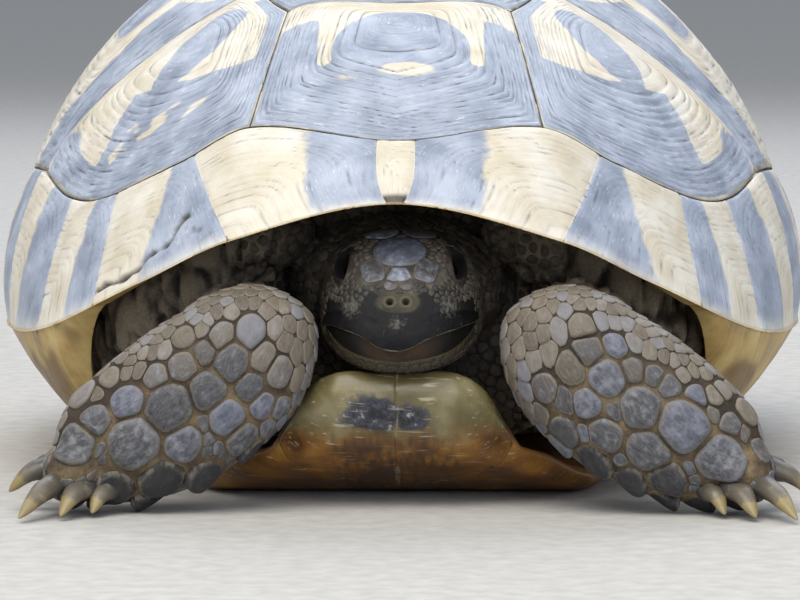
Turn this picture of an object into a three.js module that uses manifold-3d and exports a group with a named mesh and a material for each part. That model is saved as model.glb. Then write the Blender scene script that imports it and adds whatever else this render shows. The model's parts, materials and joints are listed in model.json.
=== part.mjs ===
// A Greek tortoise (Testudo graeca), life size, lying on its plastron with its head
// drawn in under the front of the shell and its forelegs folded out in front of it.
//
// Millimetres, +Z up. The animal faces -Y. The origin is on the floor, under the
// middle of the whole animal, so the belly rests on z = 0.
//
// The shell is laid out on a disc: an angle around the body (0 at the nose, growing
// to the animal's left, which is +X) and a reach from the crown (0) over the seam
// between costals and marginals (SEAM) to the rim (1). Every horny plate is a patch
// of that disc, given the shell's thickness. The flesh is made of lofts along curves.

import * as THREE from 'three';
import { mergeVertices } from 'three/addons/utils/BufferGeometryUtils.js';
import Module from 'manifold-3d';

const wasm = await Module();
wasm.setup();

// ---- driving dimensions ----------------------------------------------------------
const HALF_WIDTH = 74; // shell, at the rim
const FRONT_REACH = 108; // from the crown's centre to the front rim
const REAR_REACH = 92;
const CROWN_Y = 8; // the crown stands behind the middle of the shell
const CROWN_Z = 102;
const PLAN_POWER = 2.45; // how square the shell is in plan
const SEAM = 0.8; // reach of the costal and marginal seam
const PLATE = 3; // thickness of the shell with its horn
const GAP = 0.22; // each plate stops this short of its seam
const CLEAR = 0.35; // between flesh and what it meets
const BRIDGE_X = 50; // where the bridge meets the plastron
const BRIDGE_Z = 4;
const LIP = 7; // how far the marginals' horn turns in under the rim
const VERTEBRAL_RISE = 1.4; // the middle of a plate stands proud of its seams
const COSTAL_RISE = 1.6;
const HEART = { z: 22, high: 78 }; // the plates' thickness points at this height in the body

// The rim and the seam, sampled at these angles around half the shell.
const AROUND = [0, 15, 24, 36, 46, 60, 90, 120, 150, 180].map(THREE.MathUtils.degToRad);
const SHELL = {
  seamHeight: [62.3, 64.3, 57.8, 51, 50.3, 54, 52, 49, 46, 45],
  seamReach: [0.9, 0.885, 0.885, 0.9, 0.905, 0.92, 0.95, 0.945, 0.89, 0.865],
  rimHeight: [52.2, 45.7, 38.5, 30.5, 27, 26, 26, 25.5, 23, 21],
  bulge: [0, 0, 0, 0.005, 0.012, 0.025, 0.035, 0.03, 0.01, 0.012],
  domePower: [2, 2, 2, 2.05, 2.1, 2.15, 2.2, 2.3, 2.5, 2.6],
  domeFall: [1.08, 1.08, 1.05, 1, 0.95, 0.88, 0.8, 0.8, 0.84, 0.85],
};

// Plate borders, as angles from the nose in degrees: where they leave the rim and
// where they meet the seam. The first is the edge of the narrow nuchal plate.
const RIM_BORDERS = [0.7, 15.2, 31.5, 44.2, 62, 80, 97, 114, 129, 143, 157, 170];
const SEAM_BORDERS = [1.9, 22, 33.5, 44.8, 62, 80, 97, 113, 129, 142, 155, 168];
// Between these angles the marginals' underside runs down to the plastron, as the bridge.
const BRIDGE_FRONT = [31.5, 45];
const BRIDGE_REAR = [114, 127];
const FLANK_FRONT = [25, 31.5]; // and between these their lip narrows and levels out
const FLANK_REAR = [114, 129];

// Corners of the plates along the back, at the animal's left, in plan.
const V1_FRONT = 15.3; // degrees, on the seam
const V12 = [19.8, -52];
const V2_SIDE = [26, -34];
const V23 = [19.5, -16];
const V3_SIDE = [27, 3];
const V34 = [19, 22];
const V4_SIDE = [24, 40];
const V45 = [14, 55];
const V5_REAR = 155;
const COSTAL_FEET = [58, 91, 122]; // seams between the costals, on the marginals

// ---- colours ---------------------------------------------------------------------
const paint = (color, roughness) => new THREE.MeshStandardMaterial({ color, roughness, metalness: 0 });
const HORN = paint('#a9a58f', 0.5);
const HORN_DARK = paint('#6d7385', 0.5);
const HORN_PALE = paint('#e2d7ae', 0.5);
const PLASTRON = paint('#a98a4e', 0.45);
const SKIN = paint('#6f6450', 0.8);
const HEAD = paint('#3f3b36', 0.6);
const EYE = paint('#0d0b0a', 0.1);

const group = new THREE.Group();
function add(name, geometry, material) {
  const mesh = new THREE.Mesh(geometry, material);
  mesh.name = name;
  group.add(mesh);
}

// ---- from three.js geometry to solids and back -------------------------------------
function closed(geometry) {
  geometry.deleteAttribute('uv');
  geometry.deleteAttribute('normal');
  const merged = mergeVertices(geometry, 1e-4);
  const index = merged.index.array;
  const at = merged.attributes.position;
  let volume = 0;
  const corner = [new THREE.Vector3(), new THREE.Vector3(), new THREE.Vector3()];
  for (let i = 0; i < index.length; i += 3) {
    corner.forEach((p, k) => p.fromBufferAttribute(at, index[i + k]));
    volume += corner[0].dot(corner[1].clone().cross(corner[2]));
  }
  if (volume < 0) {
    for (let i = 0; i < index.length; i += 3) {
      [index[i], index[i + 1]] = [index[i + 1], index[i]];
    }
  }
  merged.computeVertexNormals();
  return merged;
}

function solid(geometry) {
  const merged = closed(geometry);
  return new wasm.Manifold(new wasm.Mesh({
    numProp: 3,
    vertProperties: new Float32Array(merged.attributes.position.array),
    triVerts: new Uint32Array(merged.index.array),
  }));
}

function surface(manifold) {
  const mesh = manifold.getMesh();
  const geometry = new THREE.BufferGeometry();
  geometry.setAttribute('position', new THREE.BufferAttribute(mesh.vertProperties, 3));
  geometry.setIndex(new THREE.BufferAttribute(mesh.triVerts, 1));
  geometry.computeVertexNormals();
  return geometry;
}

const joined = (solids) => solids.reduce((all, next) => all.add(next));
const cutBy = (body, cutters) => cutters.reduce((rest, next) => rest.subtract(next), body);

// ---- the shell's surface -----------------------------------------------------------
// A smooth curve through values given at the angles AROUND, flat at both ends.
function aroundShell(values, angle) {
  const a = Math.abs(Math.atan2(Math.sin(angle), Math.cos(angle)));
  const last = AROUND.length - 1;
  const slope = (k) => (k === 0 || k === last ? 0
    : (values[k + 1] - values[k - 1]) / (AROUND[k + 1] - AROUND[k - 1]));
  let i = 0;
  while (i < last - 1 && a > AROUND[i + 1]) i += 1;
  const h = AROUND[i + 1] - AROUND[i];
  const s = (a - AROUND[i]) / h;
  return (2 * s ** 3 - 3 * s ** 2 + 1) * values[i] + (s ** 3 - 2 * s ** 2 + s) * h * slope(i)
    + (3 * s ** 2 - 2 * s ** 3) * values[i + 1] + (s ** 3 - s ** 2) * h * slope(i + 1);
}

function rimRadius(angle) {
  const reach = Math.cos(angle) > 0 ? FRONT_REACH : REAR_REACH;
  const across = Math.abs(Math.sin(angle) / HALF_WIDTH) ** PLAN_POWER;
  const along = Math.abs(Math.cos(angle) / reach) ** PLAN_POWER;
  return (across + along) ** (-1 / PLAN_POWER);
}

function shellPoint(angle, reach) {
  const seamHeight = aroundShell(SHELL.seamHeight, angle);
  const seamReach = aroundShell(SHELL.seamReach, angle);
  let out;
  let z;
  if (reach <= SEAM) {
    const a = reach / SEAM;
    out = seamReach * a;
    const rise = (1 - a ** aroundShell(SHELL.domePower, angle)) ** aroundShell(SHELL.domeFall, angle);
    z = seamHeight + (CROWN_Z - seamHeight) * rise;
  } else {
    const b = (reach - SEAM) / (1 - SEAM);
    out = seamReach + (1 - seamReach) * b + 4 * aroundShell(SHELL.bulge, angle) * b * (1 - b);
    z = seamHeight + (aroundShell(SHELL.rimHeight, angle) - seamHeight) * b;
  }
  const r = rimRadius(angle) * out;
  return new THREE.Vector3(r * Math.sin(angle), CROWN_Y - r * Math.cos(angle), z);
}

// The way into the body from a point of the shell, alike on both sides of every seam.
function inward(point) {
  return new THREE.Vector3(
    -point.x / HALF_WIDTH ** 2,
    (CROWN_Y - point.y) / FRONT_REACH ** 2,
    (HEART.z - point.z) / HEART.high ** 2,
  ).normalize();
}

// Where a place in plan lies on the disc, and where an angle meets the seam.
function onDisc([x, y]) {
  const angle = Math.atan2(x, CROWN_Y - y);
  const out = Math.hypot(x, CROWN_Y - y) / rimRadius(angle);
  const reach = (SEAM * out) / aroundShell(SHELL.seamReach, angle);
  return { angle, reach };
}
const onSeam = (degrees) => ({ angle: THREE.MathUtils.degToRad(degrees), reach: SEAM });
const flip = ({ angle, reach }) => ({ angle: -angle, reach });
const disc = ({ angle, reach }) => new THREE.Vector2(reach * Math.sin(angle), -reach * Math.cos(angle));

// An outline through corners on the disc, with so many steps along each of its sides.
// A side that runs along the seam keeps to it.
function outline(corners, steps) {
  const points = [];
  corners.forEach((a, i) => {
    const b = corners[(i + 1) % corners.length];
    const alongSeam = a.reach === SEAM && b.reach === SEAM;
    for (let k = 0; k < steps[i]; k += 1) {
      const f = k / steps[i];
      if (alongSeam) {
        points.push(disc({ angle: a.angle + (b.angle - a.angle) * f, reach: SEAM }));
      } else {
        points.push(disc(a).lerp(disc(b), f));
      }
    }
  });
  return points;
}

// ---- plates --------------------------------------------------------------------------
// A plate is a sphere pressed flat: its upper rows spread out over the outer face from
// the middle to the edge, and its last row closes the inner face.
function plate(edge, middle, outerAt, innerAt) {
  const sides = edge.length;
  const rings = 2;
  const geometry = new THREE.SphereGeometry(1, sides, rings + 2);
  const at = geometry.attributes.position;
  const crown = outerAt(middle, 0);
  for (let row = 0; row <= rings + 2; row += 1) {
    const outer = row <= rings;
    const spread = outer ? row / rings : rings + 2 - row;
    for (let k = 0; k <= sides; k += 1) {
      const border = edge[k % sides];
      const margin = 1 - GAP / outerAt(border, 1).distanceTo(crown);
      const place = middle.clone().lerp(border, spread * margin);
      const point = outer ? outerAt(place, spread) : innerAt(place, spread);
      at.setXYZ(row * (sides + 1) + k, point.x, point.y, point.z);
    }
  }
  return closed(geometry);
}

function shellPlate(corners, steps, rise) {
  const edge = outline(corners, steps);
  const middle = edge.reduce((sum, p) => sum.add(p), new THREE.Vector2()).divideScalar(edge.length);
  const place = (p) => shellPoint(Math.atan2(p.x, -p.y), p.length());
  const outerAt = (p, spread) => {
    const point = place(p);
    return point.addScaledVector(inward(point), -rise * (1 - spread ** 2));
  };
  const innerAt = (p) => {
    const point = place(p);
    return point.addScaledVector(inward(point), PLATE);
  };
  return plate(edge, middle, outerAt, innerAt);
}

function vertebrals() {
  const left = {
    front: onSeam(V1_FRONT), v12: onDisc(V12), v2: onDisc(V2_SIDE), v23: onDisc(V23),
    v3: onDisc(V3_SIDE), v34: onDisc(V34), v4: onDisc(V4_SIDE), v45: onDisc(V45),
    rear: onSeam(V5_REAR),
  };
  const right = Object.fromEntries(Object.entries(left).map(([k, v]) => [k, flip(v)]));
  const tail = { angle: 2 * Math.PI - left.rear.angle, reach: SEAM };
  const plates = [
    [[left.front, left.v12, right.v12, right.front], [4, 5, 4, 6]],
    [[left.v12, left.v2, left.v23, right.v23, right.v2, right.v12], [3, 3, 4, 3, 3, 4]],
    [[left.v23, left.v3, left.v34, right.v34, right.v3, right.v23], [3, 3, 4, 3, 3, 4]],
    [[left.v34, left.v4, left.v45, right.v45, right.v4, right.v34], [3, 3, 4, 3, 3, 4]],
    [[left.v45, left.rear, tail, right.v45], [4, 6, 4, 3]],
  ];
  plates.forEach(([corners, steps], i) => {
    add(`vertebral_${i + 1}`, shellPlate(corners, steps, VERTEBRAL_RISE), HORN);
  });
}

function costals(side, turn) {
  const [foot1, foot2, foot3] = COSTAL_FEET.map(onSeam);
  const plates = [
    [[onSeam(V1_FRONT), foot1, onDisc(V2_SIDE), onDisc(V12)], [7, 5, 3, 4]],
    [[foot1, foot2, onDisc(V3_SIDE), onDisc(V23), onDisc(V2_SIDE)], [6, 5, 3, 3, 5]],
    [[foot2, foot3, onDisc(V4_SIDE), onDisc(V34), onDisc(V3_SIDE)], [6, 5, 3, 3, 5]],
    [[foot3, onSeam(V5_REAR), onDisc(V45), onDisc(V4_SIDE)], [6, 4, 3, 5]],
  ];
  plates.forEach(([corners, steps], i) => {
    add(`costal_${side}_${i + 1}`, shellPlate(corners.map(turn), steps, COSTAL_RISE), HORN_DARK);
  });
}

// 1 between two spans of degrees, falling to 0 across each of them.
function between(angle, front, rear) {
  const { radToDeg, smoothstep } = THREE.MathUtils;
  const degrees = radToDeg(Math.abs(angle));
  return smoothstep(degrees, ...front) * (1 - smoothstep(degrees, ...rear));
}
const bridging = (angle) => between(angle, BRIDGE_FRONT, BRIDGE_REAR);
const flanking = (angle) => between(angle, FLANK_FRONT, FLANK_REAR);

// How the marginals' underside runs: its lip turns in mostly across the body and a
// little along it, rises in front and behind, and is level and narrower at the flanks.
// The bridge's wall is a little shorter than the rim above it, and swells out.
const UNDER = {
  along: 0.4, flankLip: -0.6, lift: 2.4, flankDrop: 2.4, bridgeLength: 0.84, swellOut: 2.2, swellDown: 1.6,
};

// The marginals' underside, from a place on the rim inwards: a short lip that turns in
// under the rim in front and behind, and the wall of the bridge along the flanks.
function underside(rim, angle, f) {
  const bridge = bridging(angle);
  const flank = flanking(angle);
  const side = Math.sign(rim.x);
  const way = new THREE.Vector3(-rim.x, UNDER.along * (CROWN_Y - rim.y), 0).normalize();
  const lip = rim.clone().addScaledVector(way, LIP * (1 + UNDER.flankLip * flank));
  lip.z += UNDER.lift - UNDER.flankDrop * flank;
  const foot = new THREE.Vector3(side * BRIDGE_X, rim.y * UNDER.bridgeLength, BRIDGE_Z);
  const sag = 4 * f * (1 - f) * bridge;
  const swell = new THREE.Vector3(side * UNDER.swellOut * sag, 0, -UNDER.swellDown * sag);
  return rim.clone().lerp(lip.lerp(foot, bridge), f).add(swell);
}

// The bridge's wall is this far in, and this far up, from its outer face, in plates.
const WALL_IN = 0.3;
const WALL_LIFT = 0.8;
const SEAM_STEP = 0.02; // a marginal's face begins this share of its height below the seam
const FIRST_GAP = 3.2; // the first plate of the bridge keeps this many gaps from its neighbour

// A marginal is a box bent over the rim. Across it the angle runs from one border to
// the next. Away from the bridge it is a wedge, and the box's foot is its underside. On
// the bridge the box runs on from the rim down the bridge's wall.
function marginal(borders, sign) {
  const [rimFrom, rimTo, seamFrom, seamTo] = borders.map(THREE.MathUtils.degToRad);
  const bridged = borders[1] > BRIDGE_FRONT[0] && borders[0] < BRIDGE_REAR[1];
  const geometry = new THREE.BoxGeometry(1, 1, 1, 2, bridged ? 6 : 2, 1);
  const at = geometry.attributes.position;
  const margin = GAP / rimRadius((rimFrom + rimTo) / 2);
  const before = borders[0] === BRIDGE_FRONT[0] ? FIRST_GAP : 1;
  for (let i = 0; i < at.count; i += 1) {
    const across = at.getX(i) + 0.5;
    const down = (bridged ? 2 : 1) * (0.5 - at.getY(i));
    const face = Math.min(down, 1);
    const angleAt = (f) => {
      const from = seamFrom + (rimFrom - seamFrom) * f + before * margin;
      const to = seamTo + (rimTo - seamTo) * f - margin;
      return sign * (from + (to - from) * across);
    };
    const angle = angleAt(face);
    const point = shellPoint(angle, SEAM + (1 - SEAM) * (SEAM_STEP + (1 - SEAM_STEP) * face));
    const inner = point.clone().addScaledVector(inward(point), PLATE);
    if (!bridged && down === 1) {
      // The lip ends behind the middle of the face, so it keeps to the border there.
      const behind = angleAt(1 - 0.5 * (1 - flanking(angle)));
      inner.copy(underside(shellPoint(behind, 1), behind, 1));
    } else if (down === 1) {
      inner.z += WALL_LIFT * PLATE * (1 - bridging(angle));
    } else if (down > 1) {
      point.copy(underside(point, angle, down - 1));
      const wallIn = -WALL_IN * Math.sign(point.x) * bridging(angle);
      const wall = new THREE.Vector3(wallIn, 0, WALL_LIFT);
      inner.copy(point).addScaledVector(wall, PLATE);
    }
    if (at.getZ(i) < 0) {
      point.copy(inner);
    }
    at.setXYZ(i, point.x, point.y, point.z);
  }
  return closed(geometry);
}

function marginals(side, sign) {
  for (let i = 1; i <= 11; i += 1) {
    const borders = [RIM_BORDERS[i - 1], RIM_BORDERS[i], SEAM_BORDERS[i - 1], SEAM_BORDERS[i]];
    add(`marginal_${side}_${i}`, marginal(borders, sign), HORN_PALE);
  }
}

// ---- plastron --------------------------------------------------------------------------
const LIP_Y = -99; // the front of the gular lip
// The belly is flat in the middle. It turns up from each edge of that flat over a run,
// by a height, along a curve with a power.
const TURN_UP = {
  side: { from: 30, run: 18.5, height: BRIDGE_Z, power: 2 },
  front: { from: 66, run: 33, height: 13, power: 1.6 },
  rear: { from: 42, run: 38, height: 9, power: 1.5 },
};
const turnUp = ({ from, run, height, power }, at) => height * Math.max(0, (at - from) / run) ** power;

function bellyHeight(x, y) {
  return turnUp(TURN_UP.side, Math.abs(x)) + turnUp(TURN_UP.front, -y) + turnUp(TURN_UP.rear, y);
}

// The lip in front is thick: a pillow, dished in the middle where the chin lies on it,
// that falls away to the sides.
const PLASTRON_DEPTH = 4;
const LIP_DEPTH = {
  from: 74, to: 92, more: 6.4, dish: { from: 3, to: 9, by: 1.4 }, fall: 6.6, halfWidth: 20.5, power: 5,
};
function plastronDepth(x, y) {
  const { smoothstep } = THREE.MathUtils;
  const { from, to, more, dish, fall, halfWidth, power } = LIP_DEPTH;
  const out = Math.abs(x);
  const pillow = more + dish.by * smoothstep(out, dish.from, dish.to) - fall * (out / halfWidth) ** power;
  return PLASTRON_DEPTH + smoothstep(-y, from, to) * Math.max(0, pillow);
}

// The corners of the plates of one half of the plastron in plan, from the lip back.
const BELLY_X = BRIDGE_X - 1.8; // the plastron ends short of the bridge
const BELLY_PLATES = {
  gular: [[0, LIP_Y], [9, LIP_Y + 0.4], [15.5, -95.8], [19.6, -89.6], [0, -73]],
  humeral: [[19.6, -89.6], [27, -84], [34, -72], [37.5, -58], [0, -38], [0, -73]],
  pectoral: [[37.5, -58], [40, -51], [BELLY_X, -49], [BELLY_X, -20], [0, -26], [0, -38]],
  abdominal: [[BELLY_X, -20], [BELLY_X, 33], [40, 38], [0, 30], [0, -26]],
  femoral: [[40, 38], [38, 52], [33, 64], [0, 55], [0, 30]],
  anal: [[33, 64], [26, 73], [17, 80], [10, 80], [0, 70], [0, 55]],
};
const LONG_SIDE = 22; // a side longer than this takes three steps, and not two

function plastronHalves() {
  for (const [name, corners] of Object.entries(BELLY_PLATES)) {
    for (const [side, sign] of [['left', 1], ['right', -1]]) {
      const edge = [];
      corners.forEach(([x, y], i) => {
        const [nextX, nextY] = corners[(i + 1) % corners.length];
        const steps = Math.hypot(nextX - x, nextY - y) > LONG_SIDE ? 3 : 2;
        for (let k = 0; k < steps; k += 1) {
          const f = k / steps;
          edge.push(new THREE.Vector2(sign * (x + (nextX - x) * f), y + (nextY - y) * f));
        }
      });
      const middle = edge.reduce((sum, p) => sum.add(p), new THREE.Vector2()).divideScalar(edge.length);
      const under = ({ x, y }) => new THREE.Vector3(x, y, bellyHeight(x, y));
      const over = ({ x, y }) => new THREE.Vector3(x, y, bellyHeight(x, y) + plastronDepth(x, y));
      add(`${name}_${side}`, plate(edge, middle, under, over), PLASTRON);
    }
  }
}

// ---- flesh -----------------------------------------------------------------------------
// A loft along a smooth path. Its half sizes across and along `facing` are given at the
// path's points; it rounds off at both ends. `grow` makes it larger all over, for cuts.
function loft(spec, grow = 0) {
  const { path, across, toward, away = toward, facing, power = 2, cap = 8, rows = 12, sides = 16 } = spec;
  const curve = new THREE.CatmullRomCurve3(path.map((p) => new THREE.Vector3(...p)), false, 'centripetal');
  const sizes = (list) => {
    const spline = new THREE.CatmullRomCurve3(list.map((v, i) => new THREE.Vector3(v, i, 0)));
    return (u) => spline.getPoint(u).x;
  };
  const [halfAcross, halfToward, halfAway] = [across, toward, away].map(sizes);
  const geometry = new THREE.SphereGeometry(1, sides, rows);
  const at = geometry.attributes.position;
  const up = new THREE.Vector3(...facing);
  for (let row = 0; row <= rows; row += 1) {
    const u = 0.5 - 0.5 * Math.cos((Math.PI * row) / rows);
    const ease = Math.abs(2 * u - 1) ** cap;
    const round = Math.sqrt(Math.max(0, 1 - ease));
    const more = round > 0 ? grow : 0;
    const tangent = curve.getTangent(u);
    const right = new THREE.Vector3().crossVectors(up, tangent).normalize();
    const front = new THREE.Vector3().crossVectors(tangent, right).normalize();
    const centre = curve.getPoint(u).addScaledVector(tangent, (2 * u - 1) * grow);
    for (let k = 0; k <= sides; k += 1) {
      const turn = (2 * Math.PI * k) / sides;
      const [c, s] = [Math.cos(turn), Math.sin(turn)];
      const squared = (Math.abs(c) ** power + Math.abs(s) ** power) ** (-1 / power);
      const depth = s > 0 ? halfToward(u) : halfAway(u);
      const x = (halfAcross(u) * round + more) * c * squared;
      const y = (depth * round + more) * s * squared;
      const point = centre.clone().addScaledVector(right, x).addScaledVector(front, y);
      at.setXYZ(row * (sides + 1) + k, point.x, point.y, point.z);
    }
  }
  return solid(geometry);
}

function ball([x, y, z], [a, b, c], grow = 0, sides = 10) {
  const geometry = new THREE.SphereGeometry(1, sides, sides / 2);
  geometry.scale(a + grow, b + grow, c + grow);
  geometry.translate(x, y, z);
  return solid(geometry);
}

// A slab with the side outline [y, z], all the way across the head.
const SLAB = 60;
function acrossHead(points) {
  const shape = new THREE.Shape(points.map(([y, z]) => new THREE.Vector2(y, z)));
  const geometry = new THREE.ExtrudeGeometry(shape, { depth: SLAB, bevelEnabled: false });
  const [across, along, up] = [[1, 0, 0], [0, 1, 0], [0, 0, 1]].map((way) => new THREE.Vector3(...way));
  geometry.applyMatrix4(new THREE.Matrix4().makeBasis(along, up, across));
  geometry.translate(-SLAB / 2, 0, 0);
  return solid(geometry);
}

// A limb's points are given at the animal's left, and may be moved out from there.
const sidedPoint = ([x, y, z], sign, out = 0) => [sign * (x + out), y, z];
const sided = (spec, sign, out = 0) => ({ ...spec, path: spec.path.map((p) => sidedPoint(p, sign, out)) });

const HEAD_X = 0.8; // the head is turned out of the middle by this much
const SKULL = {
  path: [
    [HEAD_X, -103.6, 31.5], [HEAD_X, -100, 31], [HEAD_X, -95, 30.6], [HEAD_X, -89, 30.6],
    [HEAD_X, -82, 31.2], [HEAD_X, -75, 32.4], [HEAD_X, -66, 34],
  ],
  across: [4.5, 8.8, 11.2, 12.7, 13.9, 14.3, 12],
  toward: [5, 8.8, 12.2, 14.6, 15.6, 14.8, 12],
  away: [3.8, 7, 7.6, 7.7, 8, 8.4, 7],
  facing: [0, 0, 1],
  power: 2.55,
  rows: 13,
  sides: 18,
};
const BROW = { out: 8.9, y: -86.5, z: 42.5, size: [3.8, 7.5, 3] };
const EYEBALL = { out: 7.8, y: -88.4, z: 40.1, size: [3.1, 3.1, 3.1] };
const NOSTRIL = { out: 1.4, y: -103.4, z: 35.6, size: [0.6, 1.2, 0.6] };
const beside = (feature, sign) => [HEAD_X + sign * feature.out, feature.y, feature.z];
const MOUTH = [[-112, 27.2], [-103, 27.6], [-97, 28.6], [-87, 31.2]];
const JAW_HINGE = [[-85, 29], [-82, 18], [-112, 18]];

function headParts() {
  const brows = [1, -1].map((sign) => ball(beside(BROW, sign), BROW.size, 0, 12));
  const jawSlab = acrossHead([...MOUTH, ...JAW_HINGE]);
  const lift = ([y, z]) => [y, z + CLEAR];
  const back = ([y, z]) => [y + CLEAR, z];
  const mouthSlab = acrossHead([...MOUTH.map(lift), ...JAW_HINGE.map(back)]);
  const sockets = [1, -1].map((sign) => ball(beside(EYEBALL, sign), EYEBALL.size, CLEAR));
  const nostrils = [1, -1].map((sign) => ball(beside(NOSTRIL, sign), NOSTRIL.size, 0, 8));
  const head = cutBy(joined([loft(SKULL), ...brows]), [mouthSlab, ...sockets, ...nostrils]);
  add('head', surface(head), HEAD);
  add('lower_jaw', surface(loft(SKULL).intersect(jawSlab)), HEAD);
  for (const [side, sign] of [['left', 1], ['right', -1]]) {
    add(`eye_${side}`, surface(ball(beside(EYEBALL, sign), EYEBALL.size)), EYE);
  }
}

const NECK = {
  path: [[0, -79, 35], [0, -72, 35.5], [0, -64, 36], [0, -54, 37]],
  across: [14, 17.5, 19.5, 18],
  toward: [10, 12, 13, 12],
  away: [9, 11.5, 13, 12],
  facing: [0, 0, 1],
  cap: 6,
  rows: 6,
  sides: 14,
};

const UPPER_ARM = {
  path: [[32, -50, 25], [30, -64, 25.5], [27.5, -79, 27], [24, -91, 29.4]],
  across: [9.5, 10, 10, 9],
  toward: [9, 9, 10, 11.4],
  away: [12, 12, 12, 12],
  facing: [0, 0, 1],
  rows: 6,
  sides: 12,
};
const FOREARM = {
  path: [
    [21, -95.5, 38.4], [22.8, -96.5, 32.2], [27.2, -97.5, 24.6], [34.8, -98, 18.8],
    [42.3, -98, 14.2], [50, -98, 10.4], [57, -97.5, 7.2],
  ],
  across: [9.6, 11.7, 13.3, 13.6, 12.8, 10.8, 8.8],
  toward: [6, 7.6, 8.2, 8.2, 7.6, 6.6, 5.4],
  away: [6, 8.4, 9.2, 9, 8, 6.6, 5.4],
  facing: [0, -1, 0],
  power: 2.2,
  cap: 6,
  rows: 10,
  sides: 14,
};
const FOREFOOT = {
  path: [[50, -97, 8.4], [55, -98.5, 6.6], [59.5, -99.5, 5.6]],
  across: [8, 8.2, 7],
  toward: [6, 5.4, 4.4],
  facing: [0, 0, 1],
  cap: 4,
  rows: 5,
  sides: 10,
};
// Claws: root, tip and half width at the root.
const FORECLAWS = [
  [[58, -93, 7.4], [62.5, -86, 4.2], 2.3],
  [[58.5, -97, 7.2], [65, -98.5, 3.4], 2.5],
  [[56, -102, 5.4], [61.8, -114.5, 0.9], 2.6],
  [[52, -103.5, 4.6], [55.2, -111.5, 0.9], 2.5],
  [[48, -102, 4], [50.3, -107.6, 0.9], 2.2],
];
// The animal's left arm reaches this much further out than its right.
const REACH_OUT = 4.6;
const THIGH = {
  path: [[26, 38, 28], [33, 46, 25], [40, 58, 20], [43, 66, 16.5]],
  across: [10.5, 10.5, 10.5, 10],
  toward: [10, 10, 9, 8.5],
  facing: [0, 0, 1],
  rows: 6,
  sides: 12,
};
const SHIN = {
  path: [[43.5, 62, 17], [44.5, 72, 12.5], [45, 82, 8.2]],
  across: [10.5, 10.5, 9.6],
  toward: [9, 8.8, 8],
  facing: [0, 0, 1],
  cap: 5,
  rows: 6,
  sides: 12,
};
const HINDFOOT = {
  path: [[45.5, 76, 8], [45.8, 83, 6.6], [45.5, 90, 5.2]],
  across: [9.5, 10, 8],
  toward: [7.5, 6.5, 4.4],
  facing: [0, 0, 1],
  cap: 4,
  rows: 5,
  sides: 10,
};
const HINDCLAWS = [
  [[52, 85, 5], [57, 92, 0.9], 2.4],
  [[48.6, 88, 5], [51, 96, 0.9], 2.5],
  [[44.4, 88.5, 5], [44.2, 97, 0.9], 2.5],
  [[40.6, 86.5, 5], [38, 94, 0.9], 2.3],
];
const TAIL = {
  path: [[0, 66, 25], [1, 78, 20], [4, 89, 14], [8.5, 97, 8]],
  across: [8, 7, 4.6, 2],
  toward: [7, 6.2, 4, 1.8],
  facing: [0, 0, 1],
  rows: 7,
  sides: 10,
};

// Folds of loose skin, from beside the neck over the arms to the shell's flanks.
const SHOULDER = {
  path: [[14, -70, 47], [28, -69, 41], [40, -66, 34], [47, -58, 27], [47, -40, 21]],
  across: [6, 6, 7, 7.6, 6],
  toward: [5, 7, 8, 9, 6],
  facing: [0, 0, 1],
  cap: 6,
  rows: 5,
  sides: 7,
};

// A claw is arched: its middle stands above the straight line from root to tip.
const CLAW = { arch: 0.9, middle: 0.45, middleWidth: 0.78, tip: 0.35, flat: 0.82 };
function claw([root, tip, width]) {
  const middle = root.map((v, i) => v + (tip[i] - v) * CLAW.middle);
  middle[2] += CLAW.arch;
  const across = [width, width * CLAW.middleWidth, CLAW.tip];
  const toward = across.map((half) => half * CLAW.flat);
  return loft({
    path: [root, middle, tip], across, toward, facing: [0, 0, 1], cap: 10, rows: 4, sides: 5,
  });
}

// Nothing reaches below the floor: soles and claws are flat where they stand on it.
const FLOOR = { width: 400, depth: 40 };
function aboveFloor(body) {
  const box = new THREE.BoxGeometry(FLOOR.width, FLOOR.width, FLOOR.depth);
  box.translate(0, 0, -FLOOR.depth / 2);
  return body.subtract(solid(box));
}

function leg(lofts, claws, sign, out) {
  const limbs = lofts.map((spec) => loft(sided(spec, sign, out)));
  const toes = claws.map(([root, tip, width]) => (
    claw([sidedPoint(root, sign, out), sidedPoint(tip, sign, out), width])));
  return aboveFloor(joined([...limbs, ...toes]));
}

// The body's core fills the shell up to the plates' inner faces. It stops short behind
// the head and the arms, where the skin folds in.
const CORE = {
  inset: PLATE + 3.4,
  front: -60, // and it is drawn in softly past this
  soft: 4,
  belt: 0.9, // reach of the shell at the core's widest
  clear: 1.4,
  tuck: { by: 0.32, over: 0.2 }, // below its widest it draws in at once, by this share
  across: [0.2, 0.48], // and then more and more, shares with powers 1.5 and 6
  along: [0.3, 0.7],
};
const drawnIn = ([early, late], f) => early * f ** 1.5 + late * f ** 6;

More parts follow.
